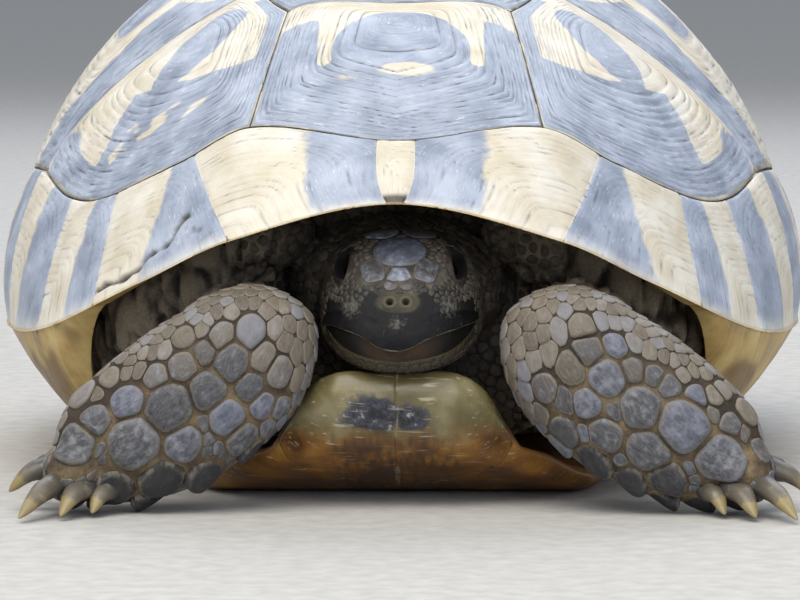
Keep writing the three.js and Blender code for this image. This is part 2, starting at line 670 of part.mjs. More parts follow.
function trunkCore() {
  const [sides, rows] = [24, 10];
  const geometry = new THREE.SphereGeometry(1, sides, rows);
  const at = geometry.attributes.position;
  for (let row = 0; row <= rows; row += 1) {
    const down = (2 * row) / rows;
    for (let k = 0; k <= sides; k += 1) {
      const angle = (2 * Math.PI * k) / sides;
      const point = shellPoint(angle, CORE.belt * Math.min(1, down));
      point.addScaledVector(inward(point), CORE.inset);
      if (down > 1) {
        const f = down - 1;
        const tuck = CORE.tuck.by * THREE.MathUtils.smoothstep(f, 0, CORE.tuck.over);
        point.x *= 1 - tuck - drawnIn(CORE.across, f);
        point.y = CROWN_Y + (point.y - CROWN_Y) * (1 - drawnIn(CORE.along, f));
        const floor = bellyHeight(point.x, point.y) + plastronDepth(0, point.y) + CORE.clear;
        point.z += (floor - point.z) * Math.sin((f * Math.PI) / 2) ** 0.8;
      }
      if (point.y < CORE.front) {
        point.y = CORE.front - CORE.soft * Math.tanh((CORE.front - point.y) / (7.5 * CORE.soft));
      }
      at.setXYZ(row * (sides + 1) + k, point.x, point.y, point.z);
    }
  }
  return solid(geometry);
}

// A plainer, larger copy of a loft, to cut its hollow with. Its flats lie further in
// than the round does, by this share.
const FLATS = 0.08;
const cutter = (spec) => (
  loft({ ...spec, rows: 5, sides: 8 }, 2 * CLEAR + FLATS * Math.max(...spec.across)));

function flesh() {
  const neck = loft(NECK).subtract(loft(SKULL, 2 * CLEAR));
  add('neck', surface(neck), SKIN);
  const cutters = [cutter(NECK), cutter(TAIL)];
  add('tail', surface(loft(TAIL)), SKIN);
  const fore = [UPPER_ARM, FOREARM, FOREFOOT];
  const hind = [THIGH, SHIN, HINDFOOT];
  for (const [side, sign] of [['left', 1], ['right', -1]]) {
    const out = sign > 0 ? REACH_OUT : 0;
    add(`foreleg_${side}`, surface(leg(fore, FORECLAWS, sign, out)), SKIN);
    add(`hindleg_${side}`, surface(leg(hind, HINDCLAWS, sign, 0)), SKIN);
    cutters.push(...fore.map((spec) => cutter(sided(spec, sign, out))));
    cutters.push(...hind.map((spec) => cutter(sided(spec, sign))));
  }
  const folds = [1, -1].map((sign) => loft(sided(SHOULDER, sign)));
  add('trunk', surface(cutBy(joined([trunkCore(), ...folds]), cutters)), SKIN);
}

// ---- the whole animal --------------------------------------------------------------------
const [nuchalRim, nuchalSeam] = [RIM_BORDERS[0], SEAM_BORDERS[0]];
const [tailRim, tailSeam] = [RIM_BORDERS.at(-1), SEAM_BORDERS.at(-1)];
add('nuchal', marginal([-nuchalRim, nuchalRim, -nuchalSeam, nuchalSeam], 1), HORN_PALE);
vertebrals();
costals('left', (corner) => corner);
costals('right', flip);
marginals('left', 1);
marginals('right', -1);
add('supracaudal', marginal([tailRim, 360 - tailRim, tailSeam, 360 - tailSeam], 1), HORN_DARK);
plastronHalves();
headParts();
flesh();

const extent = new THREE.Box3().setFromObject(group, true).getCenter(new THREE.Vector3());
group.position.set(-extent.x, -extent.y, 0);

export default group;
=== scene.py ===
"""A Greek tortoise (Testudo graeca), life size: the horn, skin and scales over the CAD frame.

Shapes are worked out in millimetres, in the frame that the shell is drawn in: the animal
faces -Y, the crown of the shell stands at y = CROWN_Y and the belly rests on z = 0. They
become metres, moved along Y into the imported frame, where the meshes are written.
"""

import json

import bpy
import numpy as np
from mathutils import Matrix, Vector
from mathutils.bvhtree import BVHTree
from mathutils.kdtree import KDTree

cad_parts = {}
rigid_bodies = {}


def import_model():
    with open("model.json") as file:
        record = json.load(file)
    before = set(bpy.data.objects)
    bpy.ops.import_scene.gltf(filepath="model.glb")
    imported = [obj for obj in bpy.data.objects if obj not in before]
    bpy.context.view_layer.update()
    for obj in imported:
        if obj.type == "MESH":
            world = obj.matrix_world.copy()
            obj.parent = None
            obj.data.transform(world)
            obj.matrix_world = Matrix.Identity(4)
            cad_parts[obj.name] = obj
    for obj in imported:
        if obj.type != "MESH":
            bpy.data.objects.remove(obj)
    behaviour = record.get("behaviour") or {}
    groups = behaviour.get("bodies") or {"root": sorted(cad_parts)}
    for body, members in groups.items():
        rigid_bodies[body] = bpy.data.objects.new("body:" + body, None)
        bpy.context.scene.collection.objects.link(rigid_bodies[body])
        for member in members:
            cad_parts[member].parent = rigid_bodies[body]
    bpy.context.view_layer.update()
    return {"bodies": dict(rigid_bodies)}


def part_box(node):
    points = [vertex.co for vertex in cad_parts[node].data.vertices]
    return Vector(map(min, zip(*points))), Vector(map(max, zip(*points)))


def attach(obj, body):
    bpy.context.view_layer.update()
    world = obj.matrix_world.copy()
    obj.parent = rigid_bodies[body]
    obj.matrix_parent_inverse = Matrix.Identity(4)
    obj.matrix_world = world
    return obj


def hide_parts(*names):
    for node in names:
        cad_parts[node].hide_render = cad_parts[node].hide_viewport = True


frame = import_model()
BODY = next(iter(frame["bodies"]))
MM = 0.001
SIDES = (("left", 1), ("right", -1))

# ---- the shell's driving dimensions ------------------------------------------------
HALF_WIDTH = 74.0  # at the rim
FRONT_REACH = 108.0  # from the crown's centre to the front rim
REAR_REACH = 92.0
CROWN_Y = 8.0
CROWN_Z = 102.0
PLAN_POWER = 2.45  # how square the shell is in plan
SEAM = 0.8  # reach of the costal and marginal seam, on the disc that the shell is laid out on
PLATE = 3.0  # thickness of the shell with its horn
BRIDGE_X = 50.0
BRIDGE_Z = 4.0
LIP = 7.0  # how far the marginals' horn turns in under the rim
# The frame's middle lies this far behind the shell's.
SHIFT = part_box("supracaudal")[1].y / MM - (CROWN_Y + REAR_REACH)

# The rim and the seam, at these angles from the nose around half the shell.
AROUND = np.radians([0, 15, 24, 36, 46, 60, 90, 120, 150, 180])
SHELL = {
    "seam_height": [62.3, 64.3, 57.8, 51, 50.3, 54, 52, 49, 46, 45],
    "seam_reach": [0.9, 0.885, 0.885, 0.9, 0.905, 0.92, 0.95, 0.945, 0.89, 0.865],
    "rim_height": [52.2, 45.7, 38.5, 30.5, 27, 26, 26, 25.5, 23, 21],
    "bulge": [0, 0, 0, 0.005, 0.012, 0.025, 0.035, 0.03, 0.01, 0.012],
    "dome_power": [2, 2, 2, 2.05, 2.1, 2.15, 2.2, 2.3, 2.5, 2.6],
    "dome_fall": [1.08, 1.08, 1.05, 1, 0.95, 0.88, 0.8, 0.8, 0.84, 0.85],
}
# Plate borders in degrees, where they leave the rim and where they meet the seam.
RIM_BORDERS = [0.7, 15.2, 31.5, 44.2, 62, 80, 97, 114, 129, 143, 157, 170]
NUCHAL_SEAM = 1.9
SEAM_BORDERS = [NUCHAL_SEAM, 22, 33.5, 44.8, 62, 80, 97, 113, 129, 142, 155, 168]
BRIDGE_FRONT, BRIDGE_REAR = (31.5, 45), (114, 127)
FLANK_FRONT, FLANK_REAR = (25, 31.5), (114, 129)
# Corners of the plates along the back, at the animal's left, in plan.
V1_FRONT = 15.3  # degrees, on the seam
V12, V2_SIDE, V23, V3_SIDE = (19.8, -52), (26, -34), (19.5, -16), (27, 3)
V34, V4_SIDE, V45 = (19, 22), (24, 40), (14, 55)
V5_REAR = 155
COSTAL_FEET = (58, 91, 122)


# ---- numbers -------------------------------------------------------------------------
def smoothstep(low, high, value):
    f = np.clip((value - low) / (high - low), 0, 1)
    return f * f * (3 - 2 * f)


def lerp(a, b, f):
    return a + (b - a) * f


def unit(ways):
    return ways / np.maximum(np.linalg.norm(ways, axis=-1, keepdims=True), 1e-9)


def column(values):
    return np.asarray(values, float)[..., None]


def noise(at, size, seed=0):
    """Smooth noise from -1 to 1 at points in mm, with bumps about `size` across."""
    at = np.asarray(at, float) / size + seed * 17.31
    cell = np.floor(at).astype(np.int64)
    share = at - cell
    share = share * share * (3 - 2 * share)
    summed = np.zeros(len(at))
    for corner in np.ndindex(2, 2, 2):
        key = (cell + corner) @ np.array([374761393, 668265263, 974634777])
        key = (key ^ (key >> 13)) * 1274126177 & 0xFFFFFFFF
        value = ((key ^ (key >> 15)) & 0xFFFF) / 32767.5 - 1
        summed += value * np.prod(np.where(corner, share, 1 - share), axis=1)
    return summed


def rough(at, size, seed=0, layers=3):
    """Noise of several sizes, each half of the one before, in sizes and in strength."""
    return sum(noise(at, size / 2**k, seed + k) / 2**k for k in range(layers))


# ---- the shell's surface ---------------------------------------------------------------
def around_shell(name, angle):
    values = np.asarray(SHELL[name], float)
    slope = np.zeros(len(values))
    slope[1:-1] = (values[2:] - values[:-2]) / (AROUND[2:] - AROUND[:-2])
    a = np.abs(np.arctan2(np.sin(angle), np.cos(angle)))
    i = np.clip(np.searchsorted(AROUND, a, side="left") - 1, 0, len(AROUND) - 2)
    h = AROUND[i + 1] - AROUND[i]
    s = (a - AROUND[i]) / h
    start = (2 * s**3 - 3 * s**2 + 1) * values[i] + (s**3 - 2 * s**2 + s) * h * slope[i]
    end = (3 * s**2 - 2 * s**3) * values[i + 1] + (s**3 - s**2) * h * slope[i + 1]
    return start + end


def rim_radius(angle):
    reach = np.where(np.cos(angle) > 0, FRONT_REACH, REAR_REACH)
    across = np.abs(np.sin(angle) / HALF_WIDTH) ** PLAN_POWER
    along = np.abs(np.cos(angle) / reach) ** PLAN_POWER
    return (across + along) ** (-1 / PLAN_POWER)


def shell_point(angle, reach):
    angle, reach = np.broadcast_arrays(np.asarray(angle, float), np.asarray(reach, float))
    seam_height, seam_reach = around_shell("seam_height", angle), around_shell("seam_reach", angle)
    a = np.clip(reach / SEAM, 0, 1)
    b = np.clip((reach - SEAM) / (1 - SEAM), 0, None)
    rise = (1 - a ** around_shell("dome_power", angle)) ** around_shell("dome_fall", angle)
    dome = seam_height + (CROWN_Z - seam_height) * rise
    wall = lerp(seam_height, around_shell("rim_height", angle), b)
    bulge = 4 * around_shell("bulge", angle) * b * (1 - b)
    out = np.where(reach > SEAM, lerp(seam_reach, 1, b) + bulge, seam_reach * a)
    r = rim_radius(angle) * out
    z = np.where(reach > SEAM, wall, dome)
    return np.stack([r * np.sin(angle), CROWN_Y - r * np.cos(angle), z], -1)


def inward(points):
    """The way into the body from the shell, alike on both sides of every seam."""
    x, y, z = points[..., 0], points[..., 1], points[..., 2]
    return unit(np.stack([
        -x / HALF_WIDTH**2, (CROWN_Y - y) / FRONT_REACH**2, (22 - z) / 78**2,
    ], -1))


def disc(angle, reach):
    return np.stack([reach * np.sin(angle), -reach * np.cos(angle)], -1)


def on_disc(plan):
    x, y = plan
    angle = np.arctan2(x, CROWN_Y - y)
    reach = SEAM * np.hypot(x, CROWN_Y - y) / rim_radius(angle) / around_shell("seam_reach", angle)
    return float(angle), float(reach)


def on_seam(degrees):
    return float(np.radians(degrees)), SEAM


def off_disc(places):
    return shell_point(np.arctan2(places[..., 0], -places[..., 1]), np.linalg.norm(places, axis=-1))


# ---- meshes ----------------------------------------------------------------------------
def sphere(name, segments, rings):
    """A new UV sphere, with each vertex's turn about the poles and its way down, 0 to 1."""
    bpy.ops.object.select_all(action="DESELECT")
    bpy.ops.mesh.primitive_uv_sphere_add(
        segments=segments, ring_count=rings, radius=1, calc_uvs=False)
    piece = bpy.context.object
    piece.name = piece.data.name = name
    at = vertices(piece)
    turn = np.rint(np.arctan2(at[:, 1], at[:, 0]) / (2 * np.pi) * segments) / segments % 1
    down = np.rint(np.arccos(np.clip(at[:, 2], -1, 1)) / np.pi * rings) / rings
    return piece, turn, down


def vertices(piece):
    at = np.empty(len(piece.data.vertices) * 3)
    piece.data.vertices.foreach_get("co", at)
    return at.reshape(-1, 3)


def place(piece, points):
    """Puts the vertices at points in mm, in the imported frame, with the faces outwards."""
    mesh = piece.data
    at = (points + [0, SHIFT, 0]) * MM
    mesh.vertices.foreach_set("co", at.astype(np.float32).ravel())
    mesh.calc_loop_triangles()
    corners = np.empty(len(mesh.loop_triangles) * 3, np.int32)
    mesh.loop_triangles.foreach_get("vertices", corners)
    a, b, c = (at[corners[k::3]] for k in range(3))
    if np.einsum("ij,ij->i", a, np.cross(b, c)).sum() < 0:
        mesh.flip_normals()
    mesh.polygons.foreach_set("use_smooth", np.ones(len(mesh.polygons), bool))
    mesh.update()
    return piece


def mark(piece, **values):
    """Gives each vertex named numbers, or vectors, that the materials read."""
    for name, value in values.items():
        value = np.asarray(value, np.float32)
        kind, key = ("FLOAT", "value") if value.ndim == 1 else ("FLOAT_VECTOR", "vector")
        attribute = piece.data.attributes.new(name, kind, "POINT")
        attribute.data.foreach_set(key, value.ravel())


def new_piece(name):
    piece = bpy.data.objects.new(name, bpy.data.meshes.new(name))
    bpy.context.scene.collection.objects.link(piece)
    return piece


def finish(piece, look, slot, *nodes):
    """Gives a piece its material and body, and hides the CAD nodes that it replaces. The slot is not used.
    """
    piece.data.materials.clear()
    piece.data.materials.append(look)
    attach(piece, BODY)
    if nodes:
        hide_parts(*nodes)
    return piece


# ---- materials -----------------------------------------------------------------------------
def colour(text):
    """A colour given as sRGB hex, as linear RGBA."""
    parts = [int(text[i:i + 2], 16) / 255 for i in (1, 3, 5)]
    return [c / 12.92 if c <= 0.04045 else ((c + 0.055) / 1.055) ** 2.4 for c in parts] + [1.0]


def add(tree, kind, inputs=None, stops=None, **settings):
    """Adds a node with its settings, sets or links its inputs, and returns it."""
    made = tree.nodes.new(kind)
    for name, value in settings.items():
        setattr(made, name, value)
    if stops:
        bands = made.color_ramp.elements
        while len(bands) < len(stops):
            bands.new(0.5)
        for element, (share, shade) in zip(bands, stops):
            element.position = share
            element.color = colour(shade)
    for key, value in (inputs or {}).items():
        if isinstance(value, bpy.types.NodeSocket):
            tree.links.new(value, made.inputs[key])
        else:
            made.inputs[key].default_value = value
    return made


FACTOR, FROM, TO, MIXED = 0, 6, 7, 2  # a Mix node's colour sockets


def material(name, roughness, **surface):
    made = bpy.data.materials.new(name)
    made.use_nodes = True
    tree = made.node_tree
    shader = tree.nodes["Principled BSDF"]
    shader.inputs["Roughness"].default_value = roughness
    for key, value in surface.items():
        shader.inputs[key.replace("_", " ")].default_value = value
    return made, tree, shader


def stored(tree, name, output="Fac"):
    """One of the piece's own numbers."""
    return add(tree, "ShaderNodeAttribute", attribute_name=name).outputs[output]


def blend(tree, factor, first, second, how="MIX"):
    made = add(tree, "ShaderNodeMix", {FACTOR: factor}, data_type="RGBA", blend_type=how)
    for socket, shade in ((FROM, first), (TO, second)):
        if isinstance(shade, str):
            made.inputs[socket].default_value = colour(shade)
        else:
            tree.links.new(shade, made.inputs[socket])
    return made.outputs[MIXED]


def ramp(tree, factor, *stops):
    return add(tree, "ShaderNodeValToRGB", {"Fac": factor}, stops=stops).outputs[0]


def step(tree, factor, low, high, most=1.0, least=0.0):
    """A soft step from least up to most as the factor goes from low to high."""
    inputs = {"Value": factor, "From Min": low, "From Max": high, "To Min": least, "To Max": most}
    return add(tree, "ShaderNodeMapRange", inputs, interpolation_type="SMOOTHSTEP").outputs[0]


def maths(tree, how, *numbers, **settings):
    return add(tree, "ShaderNodeMath", dict(enumerate(numbers)), operation=how, **settings).outputs[0]


def total(tree, first, times, second):
    """first × times + second."""
    return maths(tree, "MULTIPLY_ADD", first, times, second)


def object_place(tree):
    return add(tree, "ShaderNodeTexCoord").outputs["Object"]


def stretched(tree, vector, scale, turn=0.0):
    inputs = {"Vector": vector, "Scale": scale, "Rotation": (0, 0, turn)}
    return add(tree, "ShaderNodeMapping", inputs).outputs[0]


def cloud(tree, vector, scale, detail=4.0, roughness=0.5):
    inputs = {"Vector": vector, "Scale": scale, "Detail": detail, "Roughness": roughness}
    return add(tree, "ShaderNodeTexNoise", inputs).outputs["Fac"]


def coloured(tree, shader, shade, *layers):
    """The colour, and relief in layers of (height, strength, depth in metres)."""
    tree.links.new(shade, shader.inputs["Base Color"])
    under = None
    for height, strength, depth in layers:
        inputs = {"Height": height, "Strength": strength, "Distance": depth}
        if under:
            inputs["Normal"] = under
        under = add(tree, "ShaderNodeBump", inputs).outputs[0]
    if under:
        tree.links.new(under, shader.inputs["Normal"])


def dusted(tree, position, shade):
    """Grey dust in ragged patches, where the piece's own numbers lay it."""
    dust = total(tree, cloud(tree, position, 1500.0, 5.0, 0.75), 1.3, stored(tree, "dust"))
    return blend(tree, step(tree, dust, 0.95, 1.45, 0.6), shade, "#8b867c")


def horn_of_growth(name, rim):
    """Keratin laid down ring by ring over bone: clouded pale growth and blue-grey growth that
    run into each other along the rings, dark dirt and painted shade in the grooves between
    them, pale scratches."""
    made, tree, shader = material(name, 0.45, IOR=1.54)
    # The second pair sets how strongly dirt and painted shade darken the grooves.
    crowded, groove_darkening = ((0.16, 0.06), (0.5, 0.05)) if rim else ((0.6, 0.08), (1.0, 0.15))
    dark, groove = stored(tree, "dark"), stored(tree, "groove")
    grain, outward = stored(tree, "grain", "Vector"), stored(tree, "outward")
    position = object_place(tree)

    def along(across_mm, along_mm):
        return stretched(tree, grain, (1 / across_mm, 1 / along_mm, 1 / along_mm))

    streak = cloud(tree, along(1.1, 9.0), 1.0, 3.0)
    broad = cloud(tree, along(4.0, 12.0), 1.0, 2.0)
    soft = cloud(tree, position, 150.0, 3.0, 0.45)
    ragged = cloud(tree, position, 700.0, 4.0, 0.6)
    spread = dark
    for pattern, share in ((ragged, 0.2), (soft, 0.4), (broad, 0.34), (streak, 0.3)):
        spread = total(tree, pattern, share, spread)
    edge = step(tree, spread, 0.98, 1.24)
    fine = cloud(tree, along(0.45, 6.0), 1.0, 3.0, 0.6)
    tint = total(tree, soft, 0.7, total(tree, fine, 0.3, 0.0))
    pale = ramp(tree, tint, *zip((0.36, 0.5, 0.64), PALE))
    deep = ramp(tree, tint, *zip((0.36, 0.5, 0.64), DEEP))
    shade = blend(tree, edge, pale, deep)
    # The older a groove, the wider it has worn: dirt lies in it here and there, and the
    # groove is darkened further with painted shade.
    patchy = cloud(tree, along(3.0, 7.0), 1.0, 2.0)
    dirt_and_groove_shade = maths(tree, "MULTIPLY", groove, step(tree, patchy, 0.38, 0.6, *groove_darkening))
    shade = blend(tree, dirt_and_groove_shade, shade, "#4c505b")
    # Painted shade: at the bottom of a groove, a thin dark line that comes and goes.
    thin = maths(tree, "POWER", groove, 5.0)
    thin = maths(tree, "MULTIPLY", thin, step(tree, patchy, 0.42, 0.54, groove_darkening[0]))
    shade = blend(tree, thin, shade, "#343843")
    # Fine lines, crowded towards the margin, dark ones and pale ones.
    lines = step(tree, fine, 0.56, 0.62)
    faint = maths(tree, "MULTIPLY", lines, step(tree, outward, 0.4, 0.95, *crowded))
    shade = blend(tree, faint, shade, "#6f747f")
    scratch = cloud(tree, along(0.3, 2.6), 1.0, 4.0, 0.7)
    shade = blend(tree, step(tree, scratch, 0.58, 0.7, 0.55), shade, "#e6e7e8")
    # The newest growth, along the seams, is pale where it isn't dirty.
    newest = step(tree, total(tree, ragged, 0.02, outward), 0.99, 1.0, 0.8)
    shade = blend(tree, newest, shade, ramp(tree, soft, (0.4, "#cfc5ab"), (0.6, "#8f8673")))
    if rim:
        worn = stored(tree, "worn")
        shade = blend(tree, maths(tree, "MULTIPLY", worn, ragged), shade, "#e3ded1")
        shade = blend(tree, stored(tree, "broken"), shade, "#4a4338")
        edge_worn = maths(tree, "MULTIPLY", step(tree, worn, 0.93, 1.0, 0.9), ragged)
        shade = blend(tree, edge_worn, shade, "#b9a777")
        olive = ramp(tree, soft, (0.3, "#8a6c33"), (0.5, "#b4944f"), (0.72, "#cfb87a"))
        olive = blend(tree, step(tree, streak, 0.5, 0.7, 0.18), olive, "#d9c58e")
        stained = blend(tree, stored(tree, "smudge"), olive, "#7a5f2f")
        shade = blend(tree, stored(tree, "beneath"), shade, stained)
    coloured(tree, shader, shade, (fine, 0.3, 0.0003), (ragged, 0.3, 0.0002), (scratch, 0.25, 0.00012))
    tree.links.new(step(tree, soft, 0.3, 0.7, 0.55, 0.36), shader.inputs["Roughness"])
    return made


def horn_of_belly():
    """The plastron's keratin, thin and worn smooth by the ground: ivory up on the lip, amber
    and brown below, stained blue-black in front, scratched."""
    made, tree, shader = material("worn_plastron_horn", 0.36, IOR=1.54)
    position = object_place(tree)
    patches = cloud(tree, position, 160.0, 6.0)
    lines = cloud(tree, stretched(tree, position, (0.1, 1, 1)), 1500.0, 3.0)
    streaks = cloud(tree, stretched(tree, position, (1, 0.3, 0.1)), 900.0, 3.0)
    lip = step(tree, total(tree, patches, 1.0, stored(tree, "height")), 0.55, 1.05)
    amber = ramp(tree, patches, (0.3, "#51320f"), (0.5, "#84561c"), (0.7, "#a9782b"))
    browned = step(tree, total(tree, streaks, 1.4, stored(tree, "middle")), 1.35, 1.9, 0.75)
    amber = blend(tree, browned, amber, "#3a291b")
    ivory = ramp(tree, patches, (0.3, "#574b2c"), (0.52, "#6f6541"), (0.72, "#8f8665"))
    shade = blend(tree, lip, amber, ivory)
    blot = cloud(tree, position, 600.0, 6.0, 0.7)
    stain = step(tree, total(tree, blot, 1.4, stored(tree, "dark")), 0.9, 1.3)
    inky = ramp(tree, blot, (0.42, "#1d1d24"), (0.6, "#474a56"), (0.66, "#9f9c92"))
    shade = blend(tree, stain, shade, inky)
    shade = blend(tree, step(tree, lines, 0.6, 0.72, 0.5), shade, "#cfc7a8")
    scraped = step(tree, total(tree, streaks, 1.8, stored(tree, "midline")), 1.85, 2.2, 0.6)
    shade = blend(tree, scraped, shade, "#b9ae8c")
    coloured(tree, shader, shade, (lines, 0.25, 0.0002), (patches, 0.3, 0.0006))
    tree.links.new(step(tree, patches, 0.3, 0.7, 0.5, 0.28), shader.inputs["Roughness"])
    return made


PALE = ("#cbc1a9", "#d6cebc", "#dfdbcf")
DEEP = ("#7f899a", "#98a2b3", "#afb8c7")
HORN = horn_of_growth("carapace_horn", rim=False)
RIM_HORN = horn_of_growth("marginal_horn", rim=True)
BELLY_HORN = horn_of_belly()


def scale_keratin(name, roughness, pale, deep, rim, rings=0.0, painted_sky_sheen=0.0, dusty_rim=0.6):
    """Scales: thin keratin over skin. Each is a little lighter or darker than the next, dull
    and dusty, mottled, with a worn rim; tone takes them from the pale kind to the deep. Some
    carry a painted blue sky reflection; a tone past 1 paints shade on the undermost ones."""
    made, tree, shader = material(name, roughness, IOR=1.5)
    own = stored(tree, "scale_at", "Vector")
    shade, tone, share = (stored(tree, key) for key in ("shade", "tone", "rim"))
    mottle = cloud(tree, own, 0.8, 5.0, 0.6)
    picked = total(tree, mottle, 0.7, total(tree, shade, 0.4, tone))
    clouded, darkly = (total(tree, mottle, 1 - part, total(tree, shade, part, 0.0)) for part in (0.4, 0.2))
    light_kind = ramp(tree, clouded, *zip((0.2, 0.5, 0.8), pale))
    deep_kind = ramp(tree, darkly, *zip((0.25, 0.5, 0.75), deep))
    # Fine lines run slantwise over each scale.
    lines = cloud(tree, stretched(tree, own, (0.5, 4.0, 1), 0.6), 1.6, 4.0, 0.6)
    horn = blend(tree, step(tree, picked, 0.72, 1.28), light_kind, deep_kind)
    # Painted sky reflection: a blue-grey sheen laid on some of the scales.
    horn = blend(tree, step(tree, total(tree, lines, 0.5, shade), 0.85, 1.25, painted_sky_sheen), horn, "#596380")
    horn = blend(tree, step(tree, lines, 0.5, 0.66, 0.35), horn, rim)
    # Painted shade: the undermost scales, which face down, are darkened nearly to black.
    horn = blend(tree, step(tree, tone, 1.0, 1.4, 0.85), horn, "#1a1a1c")
    ragged = total(tree, mottle, 0.35, share)
    worn = blend(tree, step(tree, mottle, 0.4, 0.6), rim, horn)
    horn = blend(tree, step(tree, ragged, 0.88, 1.12, dusty_rim), horn, worn)
    specks = cloud(tree, own, 5.0, 3.0, 0.7)
    horn = blend(tree, step(tree, specks, 0.6, 0.74, 0.3), horn, "#aea899")
    length = add(tree, "ShaderNodeVectorMath", {0: own}, operation="LENGTH").outputs["Value"]
    wave = maths(tree, "SINE", total(tree, mottle, 3.0, total(tree, length, 16.0, 0.0)))
    coloured(tree, shader, horn, (wave, rings, 0.00012), (mottle, 0.5, 0.0005), (lines, 0.5, 0.0002),
             (specks, 0.35, 0.00012))
    return made


def loose_skin():
    """Skin between the scales: dry, finely creased, tan on the limbs, dark on head and neck,
    dusty on the face, with painted shade in its creases and painted light on the ridges of its folds."""
    made, tree, shader = material("loose_skin", 0.78, IOR=1.45)
    position = object_place(tree)
    tone, head = stored(tree, "tone"), stored(tree, "head")
    patches = cloud(tree, position, 260.0, 5.0, 0.6)
    cells = add(tree, "ShaderNodeTexVoronoi", {"Vector": position, "Scale": 1150.0, "Randomness": 0.9},
                feature="DISTANCE_TO_EDGE").outputs["Distance"]
    tan = ramp(tree, patches, (0.3, "#32291f"), (0.48, "#5e4f3a"), (0.7, "#8b7857"))
    snug = ramp(tree, patches, (0.3, "#241e17"), (0.7, "#4a3e30"))
    limb = blend(tree, step(tree, tone, 0.3, 0.8), snug, tan)
    face = ramp(tree, patches, (0.3, "#2a2622"), (0.5, "#47403a"), (0.72, "#6f675e"))
    shade = blend(tree, head, limb, face)
    # Painted shade in the creases between the folds, painted light on their ridges.
    fold_shade_factor = total(tree, patches, 0.6, total(tree, stored(tree, "ridge"), 0.4, 0.0))
    folds = ramp(tree, fold_shade_factor, (0.34, "#14110d"), (0.52, "#3a3229"), (0.85, "#857a68"))
    shade = blend(tree, stored(tree, "fold"), shade, folds)
    # Round the nostrils the skin is olive; above the beak it is as dark as the horn.
    muzzled = step(tree, total(tree, patches, 0.5, stored(tree, "muzzle")), 0.5, 0.85)
    shade = blend(tree, muzzled, shade, "#0f0f11")
    nose = stored(tree, "nose")
    olive = ramp(tree, patches, (0.35, "#27241c"), (0.65, "#4a4536"))
    shade = blend(tree, step(tree, total(tree, patches, 0.6, nose), 0.55, 1.0), shade, olive)
    shade = blend(tree, stored(tree, "rimmed"), shade, "#6a634d")
    # Painted shade in the fine creases, kept off the nose.
    crease = step(tree, cells, 0.0, 0.12, 0.0, 0.25)
    shade = blend(tree, maths(tree, "SUBTRACT", crease, nose, use_clamp=True), shade, "#241d15")
    # Painted shade in and round the eyes' openings.
    shade = blend(tree, stored(tree, "socket"), shade, "#12100e")
    shade = dusted(tree, position, shade)
    coloured(tree, shader, shade, (cells, 0.3, 0.0003), (patches, 0.6, 0.0006))
    return made


def sheath(name, base, worn_at, worn, roughness, sides=None):
    """The jaws' horn: smooth and dark, scratched up and down, worn pale along one edge."""
    made, tree, shader = material(name, roughness, IOR=1.5)
    shader.inputs["Specular IOR Level"].default_value = 0.2
    position = object_place(tree)
    up, turn = stored(tree, "up"), stored(tree, "turn")
    lines = cloud(tree, stretched(tree, position, (1, 1, 0.12)), 1400.0, 4.0, 0.65)
    patches = cloud(tree, position, 300.0, 5.0, 0.6)
    shade = ramp(tree, patches, *zip((0.3, 0.5, 0.72), base))
    shade = blend(tree, step(tree, lines, 0.62, 0.8, 0.3), shade, "#8d8778")
    if sides:
        outer = total(tree, patches, 0.3, maths(tree, "ABSOLUTE", turn))
        shade = blend(tree, step(tree, outer, 0.24, 0.5), shade, sides)
    edge = step(tree, total(tree, patches, 0.1, up), worn_at + 0.04, worn_at + 0.09, 0.0, 1.0)
    shade = blend(tree, edge, shade, worn)
    shade = dusted(tree, position, shade)
    coloured(tree, shader, shade, (lines, 0.3, 0.0002), (patches, 0.3, 0.0004))
    return made


def claw_horn():
    """Claws: grey-brown horn with fine lines along it, dirty at the root, amber at the tip."""
    made, tree, shader = material("claw_horn", 0.42, IOR=1.54)
    tip = stored(tree, "tip")
    position = object_place(tree)
    patches = cloud(tree, position, 420.0, 5.0, 0.6)
    shade = ramp(tree, total(tree, patches, 0.35, tip),
                 (0.3, "#2f2d2b"), (0.65, "#45423e"), (0.95, "#6a6150"), (1.25, "#8f7f56"))
    shade = blend(tree, step(tree, patches, 0.58, 0.7, 0.4), shade, "#8a8375")
    coloured(tree, shader, shade, (patches, 0.4, 0.0004))
    return made


def eyeball():
    """The eye: wet, near black, with a brown iris hardly lighter than the pupil."""
    made, tree, shader = material("eye", 0.06, IOR=1.38)
    off = stored(tree, "off_pupil")
    shade = ramp(tree, off, (0.0, "#050505"), (0.3, "#050505"), (0.34, "#2b1c10"), (0.55, "#1a120b"),
                 (0.62, "#0b0a09"))
    coloured(tree, shader, shade)
    return made


# Each kind of scale: its pale shades, its deep ones, its worn rim.
# The limb scales carry a painted blue sky reflection.
SCALE = scale_keratin(
    "limb_scale", 0.55, ("#544b40", "#70675a", "#979082"), ("#26272b", "#4b4c51", "#8e9095"), "#8d8474",
    rings=0.15, painted_sky_sheen=0.4)
SHIELD = scale_keratin(
    "head_shield", 0.4, ("#2e2822", "#463e36", "#645b50"), ("#3c3e49", "#676d7c", "#a3a9b8"), "#66635a",
    rings=0.2, dusty_rim=0.8)
GRANULE = scale_keratin(
    "head_granule", 0.6, ("#38312a", "#585045", "#7f7464"), ("#1d1b1b", "#2c2a28", "#45413c"), "#67604f")
LIP_HORN = scale_keratin(
    "lip_scale", 0.55, ("#332c1f", "#463d2a", "#5e5439"), ("#2a251b", "#3b3424", "#4f4630"), "#544b35")
BEAK = sheath("upper_beak_horn", ("#0a0a0b", "#101012", "#1c1d20"), 0.0, "#8c836d", 0.55)
